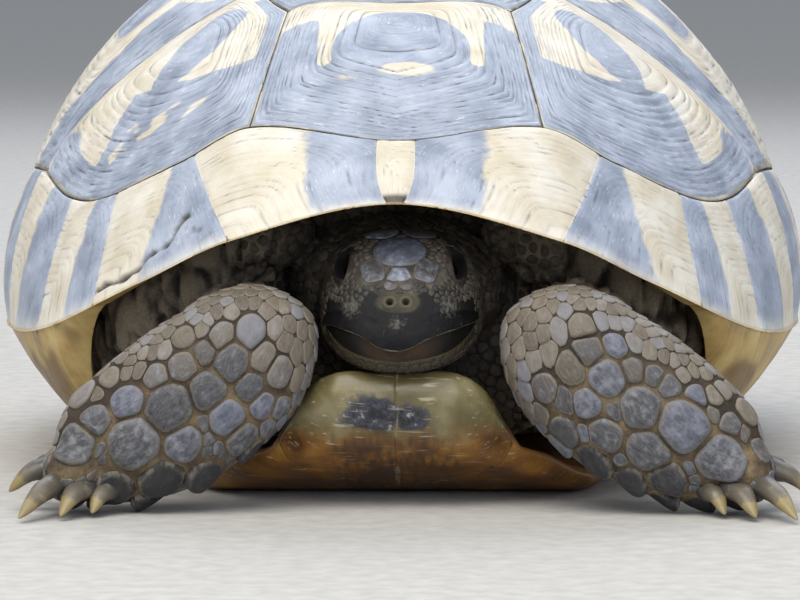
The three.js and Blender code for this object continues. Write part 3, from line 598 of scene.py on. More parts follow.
LOWER_BEAK = sheath("lower_beak_horn", ("#251c16", "#382b20", "#4d3d2c"), 0.1, "#5d543c", 0.5, "#151413")
EYE = eyeball()
SKIN = loose_skin()
CLAW_HORN = claw_horn()


# ---- horny plates of the carapace --------------------------------------------------------
GROWTH = 15  # rings from the areola to the margin
AREOLA = 0.3  # the hatchling's plate, as a share of the grown one
rng = np.random.default_rng(7)
RINGS = AREOLA + (0.985 - AREOLA) * (np.arange(GROWTH + 1) / GROWTH) ** 0.7
RINGS[1:-1] += rng.uniform(-0.011, 0.011, GROWTH - 1)
RIDGE = rng.uniform(0.18, 0.36, GROWTH + 2)  # how deep each groove is, in mm


def growth(share):
    """How far a ringed plate lies below its ridges at each share of the way out, and how
    near to a groove, 0 to 1."""
    k = np.searchsorted(RINGS, share)
    low = np.concatenate([[0], RINGS])[np.clip(k, 0, len(RINGS))]
    high = np.concatenate([RINGS, [1.02]])[np.clip(k, 0, len(RINGS))]
    f = np.abs(2 * (share - low) / np.maximum(high - low, 1e-6) - 1)
    inside = k == 0
    f = np.where(inside, (share / AREOLA) ** 6, f)
    depth = np.where(inside, RIDGE[0], RIDGE[np.clip(k, 0, GROWTH + 1)])
    return depth * f**2.2, f**9


def shared_out(lengths, count):
    """`count` points shared out among sides by their lengths, two at least to each."""
    counts = [max(2, int(round(count * length / sum(lengths)))) for length in lengths]
    counts[int(np.argmax(counts))] += count - sum(counts)
    return counts


def outline(corners, count):
    """`count` places on the disc, evenly round the plate between its corners."""
    def side(a, b, f):
        if a[1] == SEAM and b[1] == SEAM:
            return disc(lerp(a[0], b[0], f), SEAM)
        return lerp(disc(*a), disc(*b), column(f))

    pairs = list(zip(corners, corners[1:] + corners[:1]))
    fine = np.linspace(0, 1, 9)
    steps = [np.diff(off_disc(side(a, b, fine)), axis=0) for a, b in pairs]
    counts = shared_out([np.linalg.norm(s, axis=1).sum() for s in steps], count)
    return np.concatenate([side(a, b, np.arange(n) / n) for (a, b), n in zip(pairs, counts)])


def softened(edge, reach):
    """A closed outline with its corners rounded, over `reach` of its points each way."""
    weights = np.hanning(2 * reach + 3)[1:-1]
    ahead = np.arange(-reach, reach + 1)
    return sum(w * np.roll(edge, -k, axis=0) for w, k in zip(weights, ahead)) / weights.sum()


NEAR = (200, 120)  # segments and rows of the plates that are seen from close by
FACE = 0.86  # a pressed sphere's rows: this share of them lies on the plate's face
EDGE = 0.8  # a plate's face rounds down to its seam over this far
EDGE_DROP = 0.17


def shell_plate(name, corners, middle, rise, markings, segments=150, rows=84, bend=None, relief=1.0):
    """A horny plate: a sphere pressed flat onto the shell, ringed round its areola."""
    piece, turn, down = sphere(name, segments, rows)
    edge = outline(corners, segments)
    soft = softened(edge, segments // 14)
    k = np.rint(turn * segments).astype(int) % segments
    pole = (down == 0) | (down == 1)
    face = down <= FACE
    share = np.clip(np.where(face, down / FACE, (1 - down) / (1 - FACE)), 0, 1)
    share[pole] = 0
    middle = disc(*on_disc(middle))
    border = lerp(soft[k], edge[k], column(share**3))
    length = np.linalg.norm(off_disc(edge)[k] - off_disc(middle), axis=1)
    points = off_disc(middle + (border - middle) * column(share))
    way = inward(points)
    wander = 0.01 * noise(points, 9, 3) + 0.003 * noise(points, 2.5, 4)
    if bend:
        wander = wander + bend(points)
    ringed = np.clip(share + wander * smoothstep(AREOLA, AREOLA + 0.1, share), 0, 1)
    grooved, groove = growth(ringed)
    grooved *= np.clip(length / 26, 0.5, 1.15) * relief
    to_edge = (1 - share) * length
    drop = EDGE_DROP * np.clip(1 - to_edge / EDGE, 0, 1) ** 2
    lumpy = 0.16 * rough(points, 7, 5) + 0.035 * rough(points, 1.1, 9)
    proud = rise * (1 - share**2) - grooved - drop + lumpy * (1 - share**4)
    thick = PLATE * smoothstep(FACE, lerp(FACE, 1, 0.3), down)
    place(piece, points + way * column(np.where(face, -proud, thick + drop)))
    away = border - middle
    heading = np.degrees(np.arctan2(away[:, 0], -away[:, 1]))
    dark = markings(ringed, heading, points)
    around = 2 * np.pi * k / segments
    grain = np.stack([ringed, np.cos(around) * ringed, np.sin(around) * ringed], -1) * length.mean()
    mark(piece, dark=dark, groove=groove * smoothstep(0, 0.4, ringed), grain=grain, outward=ringed)
    return finish(piece, HORN, "carapace_horn", name)


def spot(points, centre, size):
    """A round blot at a place on the shell."""
    off = (points - np.asarray(centre, float)) / np.asarray(size, float)
    return np.exp(-np.sum(off**2, axis=1))


# Each of these says how dark a plate is, 0 to 1, from the share of the way out, the heading
# from the plate's middle in degrees (0 is forwards), and the place.
def dark_rings(share, core, start):
    """Dark in the middle, up to about `core`, and from `start` outwards."""
    middle = 1 - smoothstep(core - 0.06, core + 0.06, share)
    return np.maximum(middle, smoothstep(start - 0.06, start + 0.06, share))


def vertebral_markings(share, heading, points):
    """Dark areola; dark newest growth in front and at the sides, but not behind."""
    start = np.interp(np.abs(heading), [0, 40, 75, 120, 165, 180], [0.6, 0.6, 0.66, 0.66, 1.2, 1.2])
    return dark_rings(share, AREOLA + 0.14, start)


def first_vertebral(share, heading, points):
    """Dark areola and dark growth in front and at the sides; pale behind, in a strip down
    each side of the areola, and in a patch before it."""
    x, y = np.abs(points[:, 0] - 0.5), points[:, 1]
    areola = 1 - smoothstep(0.95, 1.07, np.hypot(x / 11.8, (y + 69.5) / 10.8))
    front_line = -69.5 - 3 * smoothstep(9.5, 13, x)
    front = smoothstep(front_line + 0.7, front_line - 0.7, y)
    sides = smoothstep(13.6, 15, x) * smoothstep(-57.5, -61.5, y)
    patch = 1.4 * spot(points, (1.7, -73.4, 75), (4.6, 1.5, 30))
    patch += 0.5 * spot(points, (-8.2, -75.4, 74), (6, 1.3, 30))
    seam = 0.6 * smoothstep(0.95, 0.99, share) * smoothstep(-84, -80, y)
    return np.clip(areola + front + sides, 0, 1) - patch - seam


def dipped(points):
    """The rings of the first vertebral all dip forwards in the middle."""
    x, y = points[:, 0], points[:, 1]
    return -0.06 * np.exp(-np.abs(x) / 5) * smoothstep(-66, -72, y) * smoothstep(-90, -82, y)


def costal_markings(share, heading, points):
    """Dark areola; dark newest growth in front and below."""
    side = np.where(points[:, 0] > 0, heading, -heading)
    start = np.interp(side, [-180, -120, -60, -30, 20, 50, 66, 84, 122, 180],
                      [1.3, 1.3, 1.1, 0.55, 0.55, 0.66, 0.76, 1.2, 1.2, 1.3])
    return dark_rings(share, AREOLA + 0.08, start)


def first_costal(share, heading, points):
    """Dark areola; dark growth in front, streaked pale, right along the marginals and up to
    the outer corner; pale elsewhere."""
    x, y = np.abs(points[:, 0]), points[:, 1]
    faded = 0.85 if points[0, 0] < 0 else 0.4
    turned = (x - 35.5) * 0.25 + (y + 46.5) * 0.97
    from_areola = np.hypot((x - 35.3) / 8.4, turned / 6.2) + 0.12 * noise(points, 5, 33)
    areola = 1 - smoothstep(0.85, 1.12, from_areola)
    front_line = np.interp(x, [20, 28, 36, 46.5, 50, 53, 60], [-66, -61.5, -55.8, -44, -46.5, -51, -58])
    newest = smoothstep(0.86, 0.93, share) * (x < 34) * (y > -74)
    front = smoothstep(front_line + 1, front_line - 1, y) * (1 - newest)
    below = smoothstep(0.8, 0.86, share) * smoothstep(-38, -43, y)
    corner = spot(points, (np.sign(points[0, 0]) * 61, -38.5, 55), (4, 5.5, 30)) * 1.3
    pale = 0
    for position, size in (((42, -59.6, 65), (6, 2.6, 30)), ((48.4, -54.8, 61), (4.5, 3.4, 30)),
                         ((35.5, -64.8, 67), (5, 1.5, 30)), ((52, -47, 63), (2.4, 3.4, 30))):
        pale = pale + spot(np.stack([x, y, points[:, 2]], -1), position, size) * faded
    pale = pale * (0.7 + 0.6 * noise(np.stack([x * 0.3, y, share * 40], -1), 1.4, 35))
    return np.clip(np.maximum(areola, np.clip(front - pale, 0, 1)) + below + corner, 0, 1)


def vertebrals():
    front, v12, v2, v23 = on_seam(V1_FRONT), on_disc(V12), on_disc(V2_SIDE), on_disc(V23)
    v3, v34, v4, v45 = on_disc(V3_SIDE), on_disc(V34), on_disc(V4_SIDE), on_disc(V45)
    rear, tail = on_seam(V5_REAR), on_seam(360 - V5_REAR)

    def flip(corner):
        return -corner[0], corner[1]

    first = [front, v12, flip(v12), flip(front)]
    shell_plate("vertebral_1", first, (0, -60.5), 1.4, first_vertebral, *NEAR, bend=dipped)
    others = [
        ([v12, v2, v23, flip(v23), flip(v2), flip(v12)], (0, -31)),
        ([v23, v3, v34, flip(v34), flip(v3), flip(v23)], (0, 6)),
        ([v34, v4, v45, flip(v45), flip(v4), flip(v34)], (0, 41)),
        ([v45, rear, tail, flip(v45)], (0, 66)),
    ]
    for i, (corners, middle) in enumerate(others, 2):
        shell_plate(f"vertebral_{i}", corners, middle, 1.4, vertebral_markings)


def costals(side, sign):
    def flip(corner):
        return sign * corner[0], corner[1]

    foot1, foot2, foot3 = (on_seam(degrees) for degrees in COSTAL_FEET)
    plates = [
        ([on_seam(V1_FRONT), foot1, on_disc(V2_SIDE), on_disc(V12)], (35.5, -43)),
        ([foot1, foot2, on_disc(V3_SIDE), on_disc(V23), on_disc(V2_SIDE)], (42, -13)),
        ([foot2, foot3, on_disc(V4_SIDE), on_disc(V34), on_disc(V3_SIDE)], (41, 23)),
        ([foot3, on_seam(V5_REAR), on_disc(V45), on_disc(V4_SIDE)], (34, 56)),
    ]
    for i, (corners, (x, y)) in enumerate(plates, 1):
        turned = [flip(corner) for corner in corners]
        kind = (first_costal, *NEAR) if i == 1 else (costal_markings,)
        shell_plate(f"costal_{side}_{i}", turned, (sign * x, y), 1.6, *kind, relief=0.6)


# ---- marginals ---------------------------------------------------------------------------
def between(angle, front, rear):
    degrees = np.abs(np.degrees(angle))
    return smoothstep(*front, degrees) * (1 - smoothstep(*rear, degrees))


def underside(rim, angle, f):
    """The marginals' underside, from the rim inwards: a short lip in front and behind,
    and the wall of the bridge along the flanks."""
    bridge = between(angle, BRIDGE_FRONT, BRIDGE_REAR)
    flank = between(angle, FLANK_FRONT, FLANK_REAR)
    x, y = rim[:, 0], rim[:, 1]
    way = unit(np.stack([-x, 0.4 * (CROWN_Y - y), np.zeros(len(x))], -1))
    lip = rim + way * column(LIP * (1 - 0.6 * flank))
    lip[:, 2] += 2.4 - 2.4 * flank
    foot = np.stack([np.sign(x) * BRIDGE_X, 0.84 * y, np.full(len(x), BRIDGE_Z)], -1)
    sag = 4 * f * (1 - f) * bridge
    swell = np.stack([np.sign(x) * 2.2 * sag, 0 * sag, -1.6 * sag], -1)
    return lerp(rim, lerp(lip, foot, column(bridge)), column(f)) + swell


# Shares of the way round a marginal's section: its face, the turn of its rim, its
# underside, and back up its inner face.
ON_FACE, ON_RIM, ON_UNDER = 0.5, 0.58, 0.8


def marginal(name, borders, sign, pale, segments=150, rows=60, damage=None):
    """A horny plate bent over the rim: a sphere whose poles are the plate's two ends."""
    piece, turn, down = sphere(name, segments, rows)
    rim_from, rim_to, seam_from, seam_to = np.radians(borders)
    ends = 2 / rows
    across = np.clip((down - ends) / (1 - 2 * ends), 0, 1)
    face = np.clip(turn / ON_FACE, 0, 1)
    under = np.clip((turn - ON_RIM) / (ON_UNDER - ON_RIM), 0, 1)
    back = np.clip((turn - ON_UNDER) / (1 - ON_UNDER), 0, 1)
    up = np.where(turn > ON_UNDER, 1 - back, face)
    # The nuchal's sides bow out and close in towards the rim.
    bow = [3.5 if abs(seam) < NUCHAL_SEAM + 0.1 else 1 for seam in borders[2:]]

    def angle_at(f):
        start = lerp(seam_from, rim_from, f ** bow[0])
        return sign * lerp(start, lerp(seam_to, rim_to, f ** bow[1]), across)

    angle = angle_at(up)
    outer = shell_point(angle, SEAM + (1 - SEAM) * (0.004 + 0.996 * up))
    way = inward(outer)
    width = np.linalg.norm(shell_point(sign * (rim_to + seam_to) / 2, 0.9)
                           - shell_point(sign * (rim_from + seam_from) / 2, 0.9))
    height = np.linalg.norm(outer - shell_point(angle, 1.0), axis=1).max()
    # Growth runs from the rear corner of the rim forwards and up.
    fore, high = 1 - across, 1 - face
    wander = 0.008 * noise(outer, 9, 13) + 0.003 * noise(outer, 2.6, 14)
    share = np.clip(0.2 + 0.77 * (fore**8 + high**8) ** 0.125 + wander, 0, 0.98)
    grooved, groove = growth(share)
    to_end = np.minimum(across, 1 - across) * width
    to_seam = face * height
    drop = EDGE_DROP * (np.clip(1 - to_end / EDGE, 0, 1) ** 2 + np.clip(1 - to_seam / EDGE, 0, 1) ** 2)
    worn = smoothstep(0.86, 1, face)
    lumpy = 0.12 * rough(outer, 6, 15) + 0.03 * rough(outer, 1, 19) + 0.1 * worn * rough(outer, 2.6, 21)
    proud = 0.5 * np.sin(np.pi * np.clip(across, 0, 1)) * np.sin(np.pi * np.clip(face, 0, 1)) ** 0.5
    proud = proud - 0.28 * grooved * (1 - 0.7 * worn) + lumpy
    # The nuchal's tip is broken away to dark bone.
    broken = smoothstep(0.84, 0.92, face) * (name == "nuchal")
    if damage is not None:
        sunk, broken = damage(outer)
        proud -= sunk
    on_face = outer - way * column(proud * (1 - 0.8 * smoothstep(ON_FACE, ON_RIM, turn)) - drop)
    rim_angle = angle_at(np.ones(len(turn)))
    rim = shell_point(rim_angle, 1.0)
    below = underside(rim, rim_angle, under)
    rounding = np.sin(np.pi * np.clip((turn - ON_FACE) / (ON_RIM - ON_FACE), 0, 1))
    swell = np.stack([np.sin(rim_angle), -np.cos(rim_angle), -0.6 + 0 * rim_angle], -1)
    below = below + swell * column(0.35 * rounding)
    below[:, 2] -= (0.12 * rough(below, 5, 23) - drop * 0.5) * (under > 0)
    inner_top = outer + way * column(PLATE * np.clip(3 * back, 0, 1) * (back > 0))
    inner_low = underside(rim, rim_angle, np.ones(len(turn)))
    inner_low[:, 2] += PLATE * 0.5 * np.clip(back * 3, 0, 1)
    inner = lerp(inner_low, inner_top, column(smoothstep(0, 0.9, back)))
    points = np.where(column(turn <= ON_FACE), on_face, np.where(column(turn <= ON_UNDER), below, inner))
    # The two end walls shut over the section's middle.
    loop = np.rint(down * rows).astype(int)
    for row, near in ((0, 1), (rows, rows - 1)):
        points[loop == row] = points[loop == near].mean(axis=0)
    place(piece, points)
    border = across + (pale[0] - pale[1]) * face + 0.02 * noise(outer, 3, 25)
    dark = (1 - smoothstep(pale[0] - 0.16, pale[0] + 0.16, border)) * (turn <= ON_FACE)
    beneath = smoothstep(ON_FACE - 0.012, ON_RIM - 0.03, turn)
    grain = np.stack([share * max(width, height), (across - face) * height, 0 * across], -1)
    smudge = beneath * smoothstep(0.3, 0.75, rough(points, 12, 31) + 0.35 * np.sin(np.pi * under))
    mark(piece, dark=dark, groove=groove * (turn <= ON_FACE), grain=grain, outward=share,
         beneath=beneath, worn=worn, smudge=smudge, broken=broken * (turn <= ON_FACE))
    return finish(piece, RIM_HORN, "carapace_horn", name)


def marginals(side, sign):
    for i in range(1, 12):
        borders = [RIM_BORDERS[i - 1], RIM_BORDERS[i], SEAM_BORDERS[i - 1], SEAM_BORDERS[i]]
        pale = {1: (0.36, 0.44), 2: (0.24, 0.62), 3: (0.34, 0.42), 4: (0.42, 0.5)}.get(i, (0.4, 0.5))
        damage = crack if (i, side) == (2, "right") else None
        marginal(f"marginal_{side}_{i}", borders, sign, pale, damage=damage)


def crack(points):
    """An old break across the second marginal, from its seam down to the rim, with pits:
    how deep it lies, and how dark it is."""
    line = [(-35.3, 49.5), (-37.5, 46.6), (-38.4, 44.3), (-42.2, 42.0), (-43.6, 40.0), (-47.4, 37.6),
            (-50.4, 36.6), (-53.4, 34.4)]
    away = to_line(points[:, 0], points[:, 2], line) + 0.3 * noise(points, 1.1, 41)
    cleft = np.exp(-((away / 0.26) ** 2))
    lip = 0.3 * np.exp(-((away - 0.7) / 0.5) ** 2)
    pits = spot(points, (-33.5, -87, 48), (2.4, 30, 2.2)) * smoothstep(0.1, 0.5, noise(points, 1.1, 43))
    return 0.8 * cleft - 0.45 * lip + 0.4 * pits, np.clip(1.1 * cleft + 0.6 * pits, 0, 1)


def to_line(x, y, line):
    """How far places in a plane lie from a bent line."""
    best = np.full(len(x), 99.0)
    line = np.array(line, float)
    for a, b in zip(line, line[1:]):
        way = b - a
        f = np.clip(((x - a[0]) * way[0] + (y - a[1]) * way[1]) / (way @ way), 0, 1)
        best = np.minimum(best, np.hypot(x - a[0] - f * way[0], y - a[1] - f * way[1]))
    return best


# ---- plastron ------------------------------------------------------------------------------
LIP_Y = -99.0
BELLY_X = BRIDGE_X - 1.8
GULAR_FRONT = [(0, LIP_Y), (6, LIP_Y + 0.1), (10.5, -98.4), (14, -96.9), (17, -94.4)]
BELLY_PLATES = {
    "gular": [*GULAR_FRONT, (18.8, -92), (19.8, -89.6), (0, -73)],
    "humeral": [(19.8, -89.6), (27.2, -84), (34, -72), (37.5, -58), (0, -38), (0, -73)],
    "pectoral": [(37.5, -58), (40, -51), (BELLY_X, -49), (BELLY_X, -20), (0, -26), (0, -38)],
    "abdominal": [(BELLY_X, -20), (BELLY_X, 33), (40, 38), (0, 30), (0, -26)],
    "femoral": [(40, 38), (38, 52), (33, 64), (0, 55), (0, 30)],
    "anal": [(33, 64), (26, 73), (17, 80), (10, 80), (0, 70), (0, 55)],
}


def belly_height(x, y):
    side = np.clip((np.abs(x) - 30) / 18.5, 0, None)
    front = np.clip((-66 - y) / 33, 0, None)
    rear = np.clip((y - 42) / 38, 0, None)
    return BRIDGE_Z * side**2 + 13 * front**1.6 + 9 * rear**1.5


def plastron_depth(x, y):
    x = np.abs(x)
    pillow = 8.3 + 0.5 * smoothstep(3, 8, x) - 7.2 * (x / 20.5) ** 5
    return 4 + smoothstep(74, 92, -y) * np.clip(pillow, 0.4, None)


def belly_plate(name, corners, sign, segments=120, rows=60):
    """A plate of the plastron: a pressed sphere whose face looks down."""
    piece, turn, down = sphere(name, segments, rows)
    corners = [np.array([sign * x, y], float) for x, y in corners]
    pairs = list(zip(corners, corners[1:] + corners[:1]))
    counts = shared_out([np.linalg.norm(b - a) for a, b in pairs], segments)
    edge = np.concatenate([lerp(a, b, column(np.arange(n) / n)) for (a, b), n in zip(pairs, counts)])
    k = np.rint(turn * segments).astype(int) % segments
    # The face looks down on the first half of the rows; the last of them is one edge.
    under = down <= 0.5
    share = np.clip(np.where(under, down / 0.5, (1 - down) / (0.5 - 1 / rows)), 0, 1)
    turned = share ** 0.8
    middle = np.mean(edge, axis=0)
    length = np.linalg.norm(edge[k] - middle, axis=1)
    x, y = (middle + (edge[k] - middle) * column(turned)).T
    to_edge = (1 - turned) * length
    # The free edge in front and behind is a thick round lip; seams are only creased.
    depth = plastron_depth(x, y)
    roll = np.clip(1 - to_free_edge(x, y) / 3.6, 0, 1)
    tuck = roll**2.2 * 0.42 * depth + 0.12 * np.clip(1 - to_edge / 0.6, 0, 1) ** 2
    crease = 0.05 * rough(np.stack([x, y, 0 * x], -1), 5, 51)
    low = belly_height(x, y) + tuck + np.abs(crease)
    high = belly_height(x, y) + depth - tuck
    z = np.where(under, low, high)
    points = np.stack([x, y, z], -1)
    place(piece, points)
    mark(piece, dark=belly_markings(points), height=(z - 10) / 10,
         middle=np.exp(-((x / 15) ** 4)), midline=np.exp(-(((x - 0.2) / 1.1) ** 2)))
    return finish(piece, BELLY_HORN, "plastron_horn", name)


FREE_EDGES = (
    [*GULAR_FRONT, (19.8, -89.6), (27.2, -84), (34, -72), (37.5, -58), (40, -51)],
    [(40, 38), (38, 52), (33, 64), (26, 73), (17, 80), (10, 80), (0, 70)],
)


def to_free_edge(x, y):
    """How far places on the plastron lie from its free edges in front and behind."""
    return np.min([to_line(np.abs(x), y, line) for line in FREE_EDGES], axis=0)


def belly_markings(points):
    """A ragged dark blot across the front of the lip, dark clouds further back."""
    x, y, z = points.T
    ragged = rough(points * [0.5, 1, 1], 3.5, 63)
    across, down = (x + 1.2 + 2.2 * ragged) / 7.6, (z - 16.3 + 0.1 * x + 1.1 * ragged) / 3.0
    lip = np.exp(-across**2 * np.abs(across)) * np.exp(-down**2 * np.abs(down)) * (y < -88)
    lip *= 1 - 0.4 * np.exp(-(((x - 0.3) / 0.9) ** 2))
    blots = smoothstep(0.05, 0.6, rough(np.stack([x, y, 0 * x], -1), 26, 61) + 0.25)
    return np.clip(lip + 0.8 * blots * smoothstep(-66, -50, y), 0, 1)


def plastron():
    for name, corners in BELLY_PLATES.items():
        for side, sign in SIDES:
            belly_plate(f"{name}_{side}", corners, sign)


# ---- flesh: lofts along curves -----------------------------------------------------------
def curve(points, u):
    """A smooth centripetal curve through points, at shares u of the way along it."""
    points = np.asarray(points, float)
    points = points if points.ndim == 2 else np.stack([points, np.arange(len(points))], 1)
    padded = np.concatenate([[2 * points[0] - points[1]], points, [2 * points[-1] - points[-2]]])
    position = np.clip(np.asarray(u, float), 0, 1) * (len(points) - 1)
    i = np.clip(np.floor(position).astype(int), 0, len(points) - 2)
    p0, p1, p2, p3 = (padded[i + k] for k in range(4))
    d0, d1, d2 = (np.linalg.norm(b - a, axis=1)[:, None] ** 0.5
                  for a, b in ((p0, p1), (p1, p2), (p2, p3)))
    start = ((p1 - p0) / d0 - (p2 - p0) / (d0 + d1) + (p2 - p1) / d1) * d1
    end = ((p2 - p1) / d1 - (p3 - p1) / (d1 + d2) + (p3 - p2) / d2) * d1
    s = (position - i)[:, None]
    return ((2 * s**3 - 3 * s**2 + 1) * p1 + (s**3 - 2 * s**2 + s) * start
            + (3 * s**2 - 2 * s**3) * p2 + (s**3 - s**2) * end)


HEAD_X = 0.8  # the head is turned out of the middle by this much
SKULL = {
    "path": [(HEAD_X, y, z) for y, z in ((-103.6, 31.5), (-100, 31), (-95, 30.6), (-89, 30.6), (-82, 31.2),
                                         (-75, 32.4), (-66, 34))],
    "across": [4.5, 8.8, 11.2, 12.7, 13.9, 14.3, 12],
    "toward": [5, 8.8, 12.2, 14.6, 15.6, 14.8, 12],
    "away": [3.8, 7, 7.6, 7.7, 8, 8.4, 7],
    "facing": (0, 0, 1), "power": 2.55,
}
NECK = {
    "path": [(0, -79, 35), (0, -72, 35.5), (0, -64, 36), (0, -54, 37)],
    "across": [14, 17.5, 19.5, 18], "toward": [10, 12, 13, 12], "away": [9, 11.5, 13, 12],
    "facing": (0, 0, 1), "cap": 6,
}
UPPER_ARM = {
    "path": [(32, -50, 25), (30, -64, 25.5), (27.5, -79, 27), (24, -91, 29.4)],
    "across": [9.5, 10, 10, 9], "toward": [9, 9, 10, 11.4], "away": [12, 12, 12, 12],
    "facing": (0, 0, 1),
}
FOREARM = {
    "path": [(21, -95.5, 38.4), (22.8, -96.5, 32.2), (27.2, -97.5, 24.6), (34.8, -98, 18.8),
             (42.3, -98, 14.2), (50, -98, 10.4), (57, -97.5, 7.2)],
    "across": [9.6, 11.7, 13.3, 13.6, 12.8, 10.8, 8.8], "toward": [6, 7.6, 8.2, 8.2, 7.6, 6.6, 5.4],
    "away": [6, 8.4, 9.2, 9, 8, 6.6, 5.4], "facing": (0, -1, 0), "power": 2.2, "cap": 6,
}
FOREFOOT = {
    "path": [(50, -97, 8.4), (55, -98.5, 6.6), (59.5, -99.5, 5.6)],
    "across": [8, 8.2, 7], "toward": [6, 5.4, 4.4], "facing": (0, 0, 1), "cap": 4,
}
THIGH = {
    "path": [(26, 38, 28), (33, 46, 25), (40, 58, 20), (43, 66, 16.5)],
    "across": [10.5, 10.5, 10.5, 10], "toward": [10, 10, 9, 8.5], "facing": (0, 0, 1),
}
SHIN = {
    "path": [(43.5, 62, 17), (44.5, 72, 12.5), (45, 82, 8.2)],
    "across": [10.5, 10.5, 9.6], "toward": [9, 8.8, 8], "facing": (0, 0, 1), "cap": 5,
}
HINDFOOT = {
    "path": [(45.5, 76, 8), (45.8, 83, 6.6), (45.5, 90, 5.2)],
    "across": [9.5, 10, 8], "toward": [7.5, 6.5, 4.4], "facing": (0, 0, 1), "cap": 4,
}
TAIL = {
    "path": [(0, 66, 25), (1, 78, 20), (4, 89, 14), (8.5, 97, 8)],
    "across": [8, 7, 4.6, 2], "toward": [7, 6.2, 4, 1.8], "facing": (0, 0, 1),
}
# Folds of loose skin, from the arms up to the shell in front and from the thighs behind.
SHOULDER = {
    "path": [(14, -70, 47), (28, -69, 41), (40, -66, 34), (47, -58, 27), (47, -40, 21)],
    "across": [6, 6, 7, 7.6, 6], "toward": [5, 7, 8, 9, 6], "facing": (0, 0, 1), "cap": 6,
}
# Claws: root, tip and half width at the root.
FORECLAWS = [
    ((58, -93, 7.4), (62.5, -86, 4.2), 2.3),
    ((58.5, -97, 7.2), (65, -98.5, 3.4), 2.5),
    ((56, -102, 5.4), (61.8, -114.5, 0.9), 2.6),
    ((52, -103.5, 4.6), (55.2, -111.5, 0.9), 2.5),
    ((48, -102, 4), (50.3, -107.6, 0.9), 2.2),
]
HINDCLAWS = [
    ((52, 85, 5), (57, 92, 0.9), 2.4),
    ((48.6, 88, 5), (51, 96, 0.9), 2.5),
    ((44.4, 88.5, 5), (44.2, 97, 0.9), 2.5),
    ((40.6, 86.5, 5), (38, 94, 0.9), 2.3),
]
REACH_OUT = 4.6  # the left arm reaches this much further out than the right


def sided(spec, sign, out=0):
    return {**spec, "path": [(sign * (x + out), y, z) for x, y, z in spec["path"]]}


def frame_along(spec, u):
    """Centre, across, front and half sizes of a loft at shares u of its path."""
    path = spec["path"]
    centre = curve(path, u)
    tangent = unit(curve(path, u + 1e-3) - curve(path, u - 1e-3))
    right = unit(np.cross(np.asarray(spec["facing"], float), tangent))
    front = unit(np.cross(tangent, right))
    sizes = [curve(spec[key], u)[:, 0] for key in ("across", "toward")]
    sizes.append(curve(spec["away"], u)[:, 0] if "away" in spec else sizes[1])
    return centre, tangent, right, front, sizes


def on_loft(spec, u, turn, grow=0.0):
    """Points on a loft's surface, at shares of its path and turns round it."""
    centre, tangent, right, front, (across, toward, away) = frame_along(spec, u)
    swell = np.sqrt(np.clip(1 - np.abs(2 * u - 1) ** spec.get("cap", 8), 0, 1))
    c, s = np.cos(2 * np.pi * turn), np.sin(2 * np.pi * turn)
    power = spec.get("power", 2)
    square = (np.abs(c) ** power + np.abs(s) ** power) ** (-1 / power)
    more = np.where(swell > 0, grow, 0)
    x = (across * swell + more) * c * square
    y = (np.where(s > 0, toward, away) * swell + more) * s * square
    return centre + tangent * column((2 * u - 1) * grow) + right * column(x) + front * column(y)


def loft(name, spec, grow=0.0, segments=40, rows=44):
    piece, turn, down = sphere(name, segments, rows)
    return place(piece, on_loft(spec, 0.5 - 0.5 * np.cos(np.pi * down), turn, grow))


CORE = {"inset": PLATE + 3.4, "front": -60, "belt": 0.9, "clear": 1.4}


def trunk_core():
    """The body inside the shell, up to the plates' inner faces."""
    piece, turn, down = sphere("trunk_core", 64, 48)
    angle = 2 * np.pi * turn
    points = shell_point(angle, CORE["belt"] * np.clip(2 * down, 0, 1))
    points = points + inward(points) * CORE["inset"]
    f = np.clip(2 * down - 1, 0, 1)
    tuck = 0.32 * smoothstep(0, 0.2, f)
    points[:, 0] *= 1 - tuck - 0.2 * f**1.5 - 0.48 * f**6
    points[:, 1] = CROWN_Y + (points[:, 1] - CROWN_Y) * (1 - 0.3 * f**1.5 - 0.7 * f**6)
    floor = belly_height(points[:, 0], points[:, 1]) + plastron_depth(0, points[:, 1]) + CORE["clear"]
    points[:, 2] += (floor - points[:, 2]) * np.sin(f * np.pi / 2) ** 0.8
    past = np.clip(CORE["front"] - points[:, 1], 0, None)
    points[:, 1] = np.where(past > 0, CORE["front"] - 4 * np.tanh(past / 30), points[:, 1])
    return place(piece, points)


def joined(name, pieces):
    bpy.ops.object.select_all(action="DESELECT")
    for piece in pieces:
        piece.select_set(True)
    bpy.context.view_layer.objects.active = pieces[0]
    bpy.ops.object.join()
    pieces[0].name = pieces[0].data.name = name
    return pieces[0]


def apply(piece, kind, **settings):
    modifier = piece.modifiers.new("finish", kind)
    for key, value in settings.items():
        setattr(modifier, key, value)
    bpy.context.view_layer.objects.active = piece
    bpy.ops.object.modifier_apply(modifier=modifier.name)


def in_mm(piece):
    return vertices(piece) / MM - [0, SHIFT, 0]


VOXEL = 0.84 * MM  # how finely the skin is first cast
COAT = {"head": 0.3, "neck": 0.45, "limb": 0.5}  # how far the skin lies inside the scales


def limbs():
    """Every limb's lofts, with the side that they belong to."""
    for side, sign in SIDES:
        out = REACH_OUT if sign > 0 else 0
        yield f"foreleg_{side}", [sided(spec, sign, out) for spec in (UPPER_ARM, FOREARM, FOREFOOT)]
        yield f"hindleg_{side}", [sided(spec, sign) for spec in (THIGH, SHIN, HINDFOOT)]


def legs(kind):
    """Both legs of a kind: the side, its sign, and the leg's lofts."""
    found = [specs for name, specs in limbs() if name.startswith(kind)]
    return [(side, sign, specs) for (side, sign), specs in zip(SIDES, found)]


def normals_of(mesh):
    normals = np.empty(len(mesh.vertices) * 3)
    mesh.vertices.foreach_get("normal", normals)
    return normals.reshape(-1, 3)


